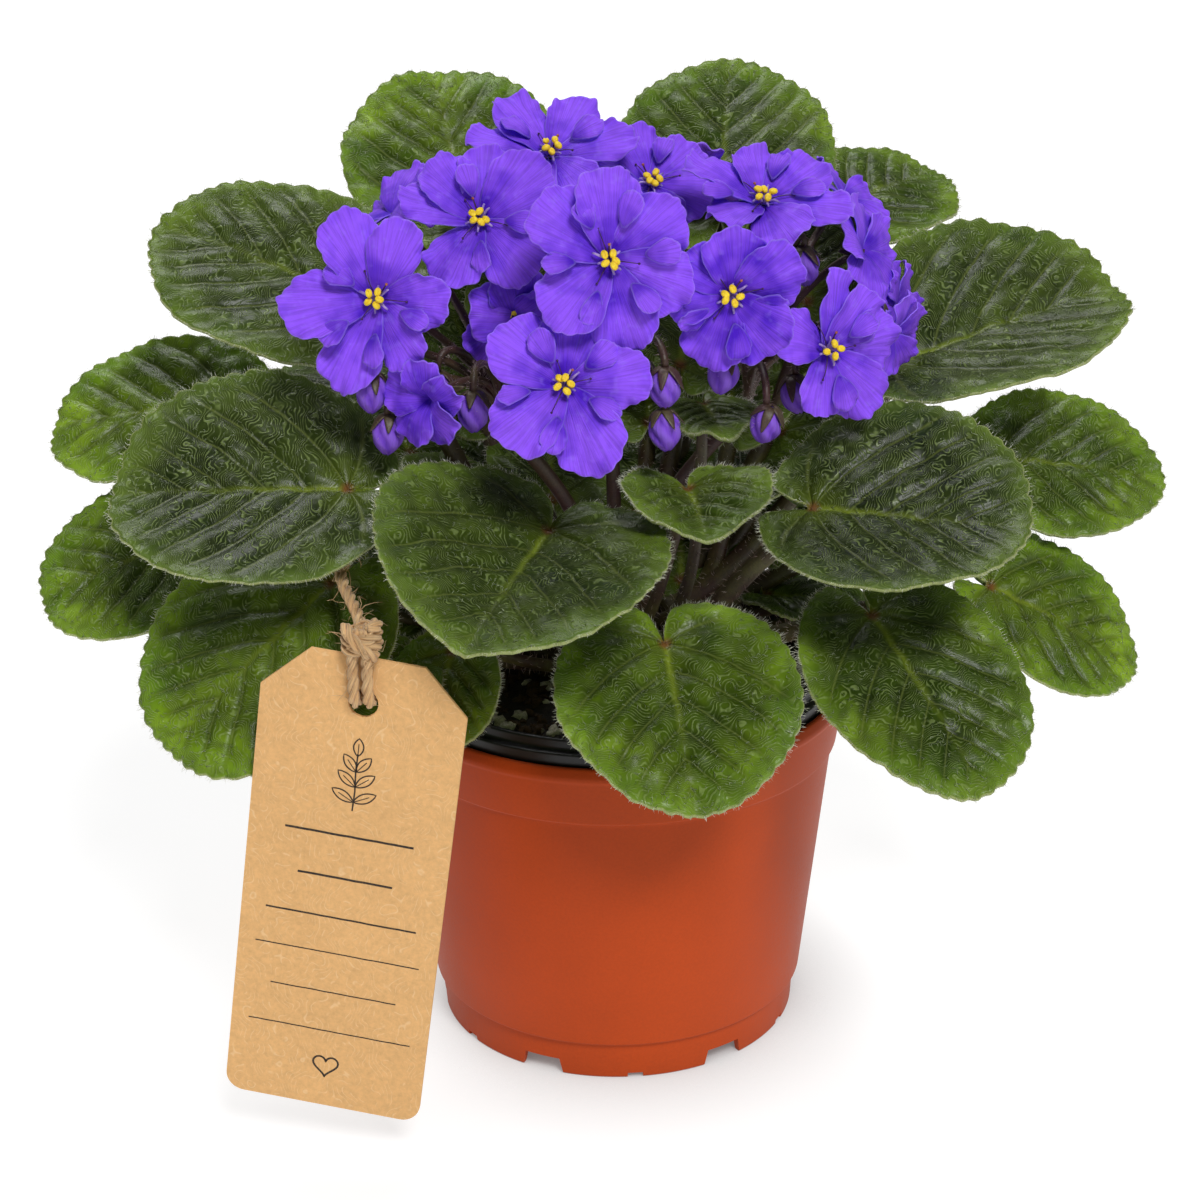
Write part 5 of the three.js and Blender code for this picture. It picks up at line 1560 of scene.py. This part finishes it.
class VIOLET_OT_twine(bpy.types.Operator):
    """Build the jute twine from the leaf stalk to the tag, its knot and its loose fibres"""

    bl_idname = "violet.twine"
    bl_label = "Twine"

    def execute(self, context):
        props = context.scene.violet_twine
        diameter, pitch = props.diameter / MM, props.pitch / MM
        jute = jute_fibre("spun_jute", props)
        dice = random.Random(5)
        line = through(TWINE_ROUTE, 0.8)
        bm = bmesh.new()
        rope(bm, line, diameter, pitch)
        twine = finished("jute_twine", bm, [jute], ["twine"])
        bm = bmesh.new()
        loose = fibres(line, props.fibres // 2, dice, diameter)
        for strand in knot_lines():
            rope(bm, strand, diameter * 0.96, pitch)
            loose += fibres(strand, props.fibres // 8, dice, diameter)
        knot = finished("jute_knot", bm, [jute], ["twine_knot"])
        bm = bmesh.new()
        bends = [master([(0, 0, -0.1), (0.1 * s, 0.05, 0.35), (0.3 * s, 0.2 * s, 0.7),
                         (0.5 * s, 0.5, 0.95)], (0.028, 0.024, 0.02, 0.01))
                 for s in (-1.4, -0.6, 0.7, 1.3)]
        scatter(bm, bends, loose, dice)
        fuzz = finished("jute_fibres", bm, [mottled(
            "loose_jute_fibre", linear(0xA97E4C), linear(0xE4C598), 0.5, 0.7, 0.02)])
        long = sum((b - a).length for a, b in zip(line, line[1:])) * MM
        return {"FINISHED"}


# Crown


class VIOLET_OT_crown(bpy.types.Operator):
    """Finish the short stem that the leaf stalks grow from"""

    bl_idname = "violet.crown"
    bl_label = "Crown"

    def execute(self, context):
        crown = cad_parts["crown"]
        crown.data.materials.clear()
        crown.data.materials.append(mottled(
            "corky_crown", linear(0x2C1D14), linear(0x6A5338), 0.5, 0.85, 0.6))
        return {"FINISHED"}


# Stage


class VIOLET_OT_stage(bpy.types.Operator):
    """Set up the camera, the pale floor and the soft studio light"""

    bl_idname = "violet.stage"
    bl_label = "Stage"

    def execute(self, context):
        props = context.scene.violet_studio
        scene = context.scene
        data = bpy.data.cameras.new("camera")
        data.lens, data.sensor_width = props.lens, 36
        camera = placed("camera", data)
        target = Vector((-3.5, 0, 100)) * MM
        away = Matrix.Rotation(-props.elevation, 3, "X") @ Vector((0, -props.distance, 0))
        look = Matrix.Rotation(math.pi / 2 - props.elevation, 4, "X") @ Matrix.Rotation(
            props.roll, 4, "Z")
        camera.matrix_world = Matrix.Translation(target + away) @ look
        scene.camera = camera
        scene.view_settings.view_transform = "Standard"
        bm = bmesh.new()
        bmesh.ops.create_grid(bm, x_segments=1, y_segments=1, size=6)
        floor = placed("floor", as_mesh("floor", bm))
        paper, tree = blank("backlit_white_paper")
        # Painted contact shadow: the paper's own glow fades where something stands close over it.
        painted_shadow_openness = add(tree, "ShaderNodeAmbientOcclusion", {"Distance": 0.04}, take="AO", samples=8)
        glow = add(tree, "ShaderNodeMapRange", {
            0: painted_shadow_openness, 1: 0.05, 2: 0.86, 3: 0.15 * props.glow, 4: props.glow})
        shaded(tree, tuple(props.floor), Roughness=0.9, Emission_Color=(1, 1, 1, 1),
               Emission_Strength=glow)
        floor.data.materials.append(paper)
        for name, place, spread, energy in (
            ("key_lamp", (0.34, -0.9, 1.1), 18, props.key),
            ("back_lamp", (-0.25, 0.75, 1.15), 30, props.back),
        ):
            lamp = bpy.data.lights.new(name, "SUN")
            lamp.angle, lamp.energy = math.radians(spread), energy
            stand = placed(name, lamp)
            aim = (-Vector(place)).to_track_quat("-Z", "Y")
            stand.matrix_world = Matrix.Translation(place) @ aim.to_matrix().to_4x4()
        scene.world = bpy.data.worlds.new("studio")
        scene.world.use_nodes = True
        background = scene.world.node_tree.nodes["Background"].inputs
        background["Color"].default_value = (1, 1, 1, 1)
        background["Strength"].default_value = props.sky
        return {"FINISHED"}


class VIOLET_PT_panel(bpy.types.Panel):
    """The sizes and colours of the violet, and a button for each part"""

    bl_idname = "VIOLET_PT_panel"
    bl_label = "Potted african violet"
    bl_space_type = "VIEW_3D"
    bl_region_type = "UI"
    bl_category = "Violet"

    def draw(self, context):
        for operators, name in PARTS:
            box = self.layout.box()
            if name:
                group = getattr(context.scene, name)
                for prop in group.__annotations__:
                    box.prop(group, prop)
            for operator in operators:
                box.operator(operator.bl_idname)


GROUPS = {
    "violet_studio": VioletStudio,
    "violet_pot": VioletPot,
    "violet_soil": VioletSoil,
    "violet_leaves": VioletLeaves,
    "violet_blooms": VioletBlooms,
    "violet_tag": VioletTag,
    "violet_twine": VioletTwine,
}
PARTS = [
    ([VIOLET_OT_stage], "violet_studio"),
    ([VIOLET_OT_twine], "violet_twine"),
    ([VIOLET_OT_tag], "violet_tag"),
    ([VIOLET_OT_pot], "violet_pot"),
    ([VIOLET_OT_soil], "violet_soil"),
    ([VIOLET_OT_crown], None),
    ([VIOLET_OT_leaves], "violet_leaves"),
    ([VIOLET_OT_blooms, VIOLET_OT_sprays], "violet_blooms"),
]
CLASSES = [*GROUPS.values(), *(op for ops, _ in PARTS for op in ops), VIOLET_PT_panel]


def register():
    for made in CLASSES:
        bpy.utils.register_class(made)
    for name, group in GROUPS.items():
        setattr(bpy.types.Scene, name, PointerProperty(type=group))


def unregister():
    for name in GROUPS:
        delattr(bpy.types.Scene, name)
    for made in reversed(CLASSES):
        bpy.utils.unregister_class(made)


def main():
    register()
    bpy.ops.violet.stage()
    bpy.ops.violet.twine()
    bpy.ops.violet.tag()
    bpy.ops.violet.pot()
    bpy.ops.violet.soil()
    bpy.ops.violet.crown()
    bpy.ops.violet.leaves()
    bpy.ops.violet.blooms()
    bpy.ops.violet.sprays()


if __name__ == "__main__":
    main()
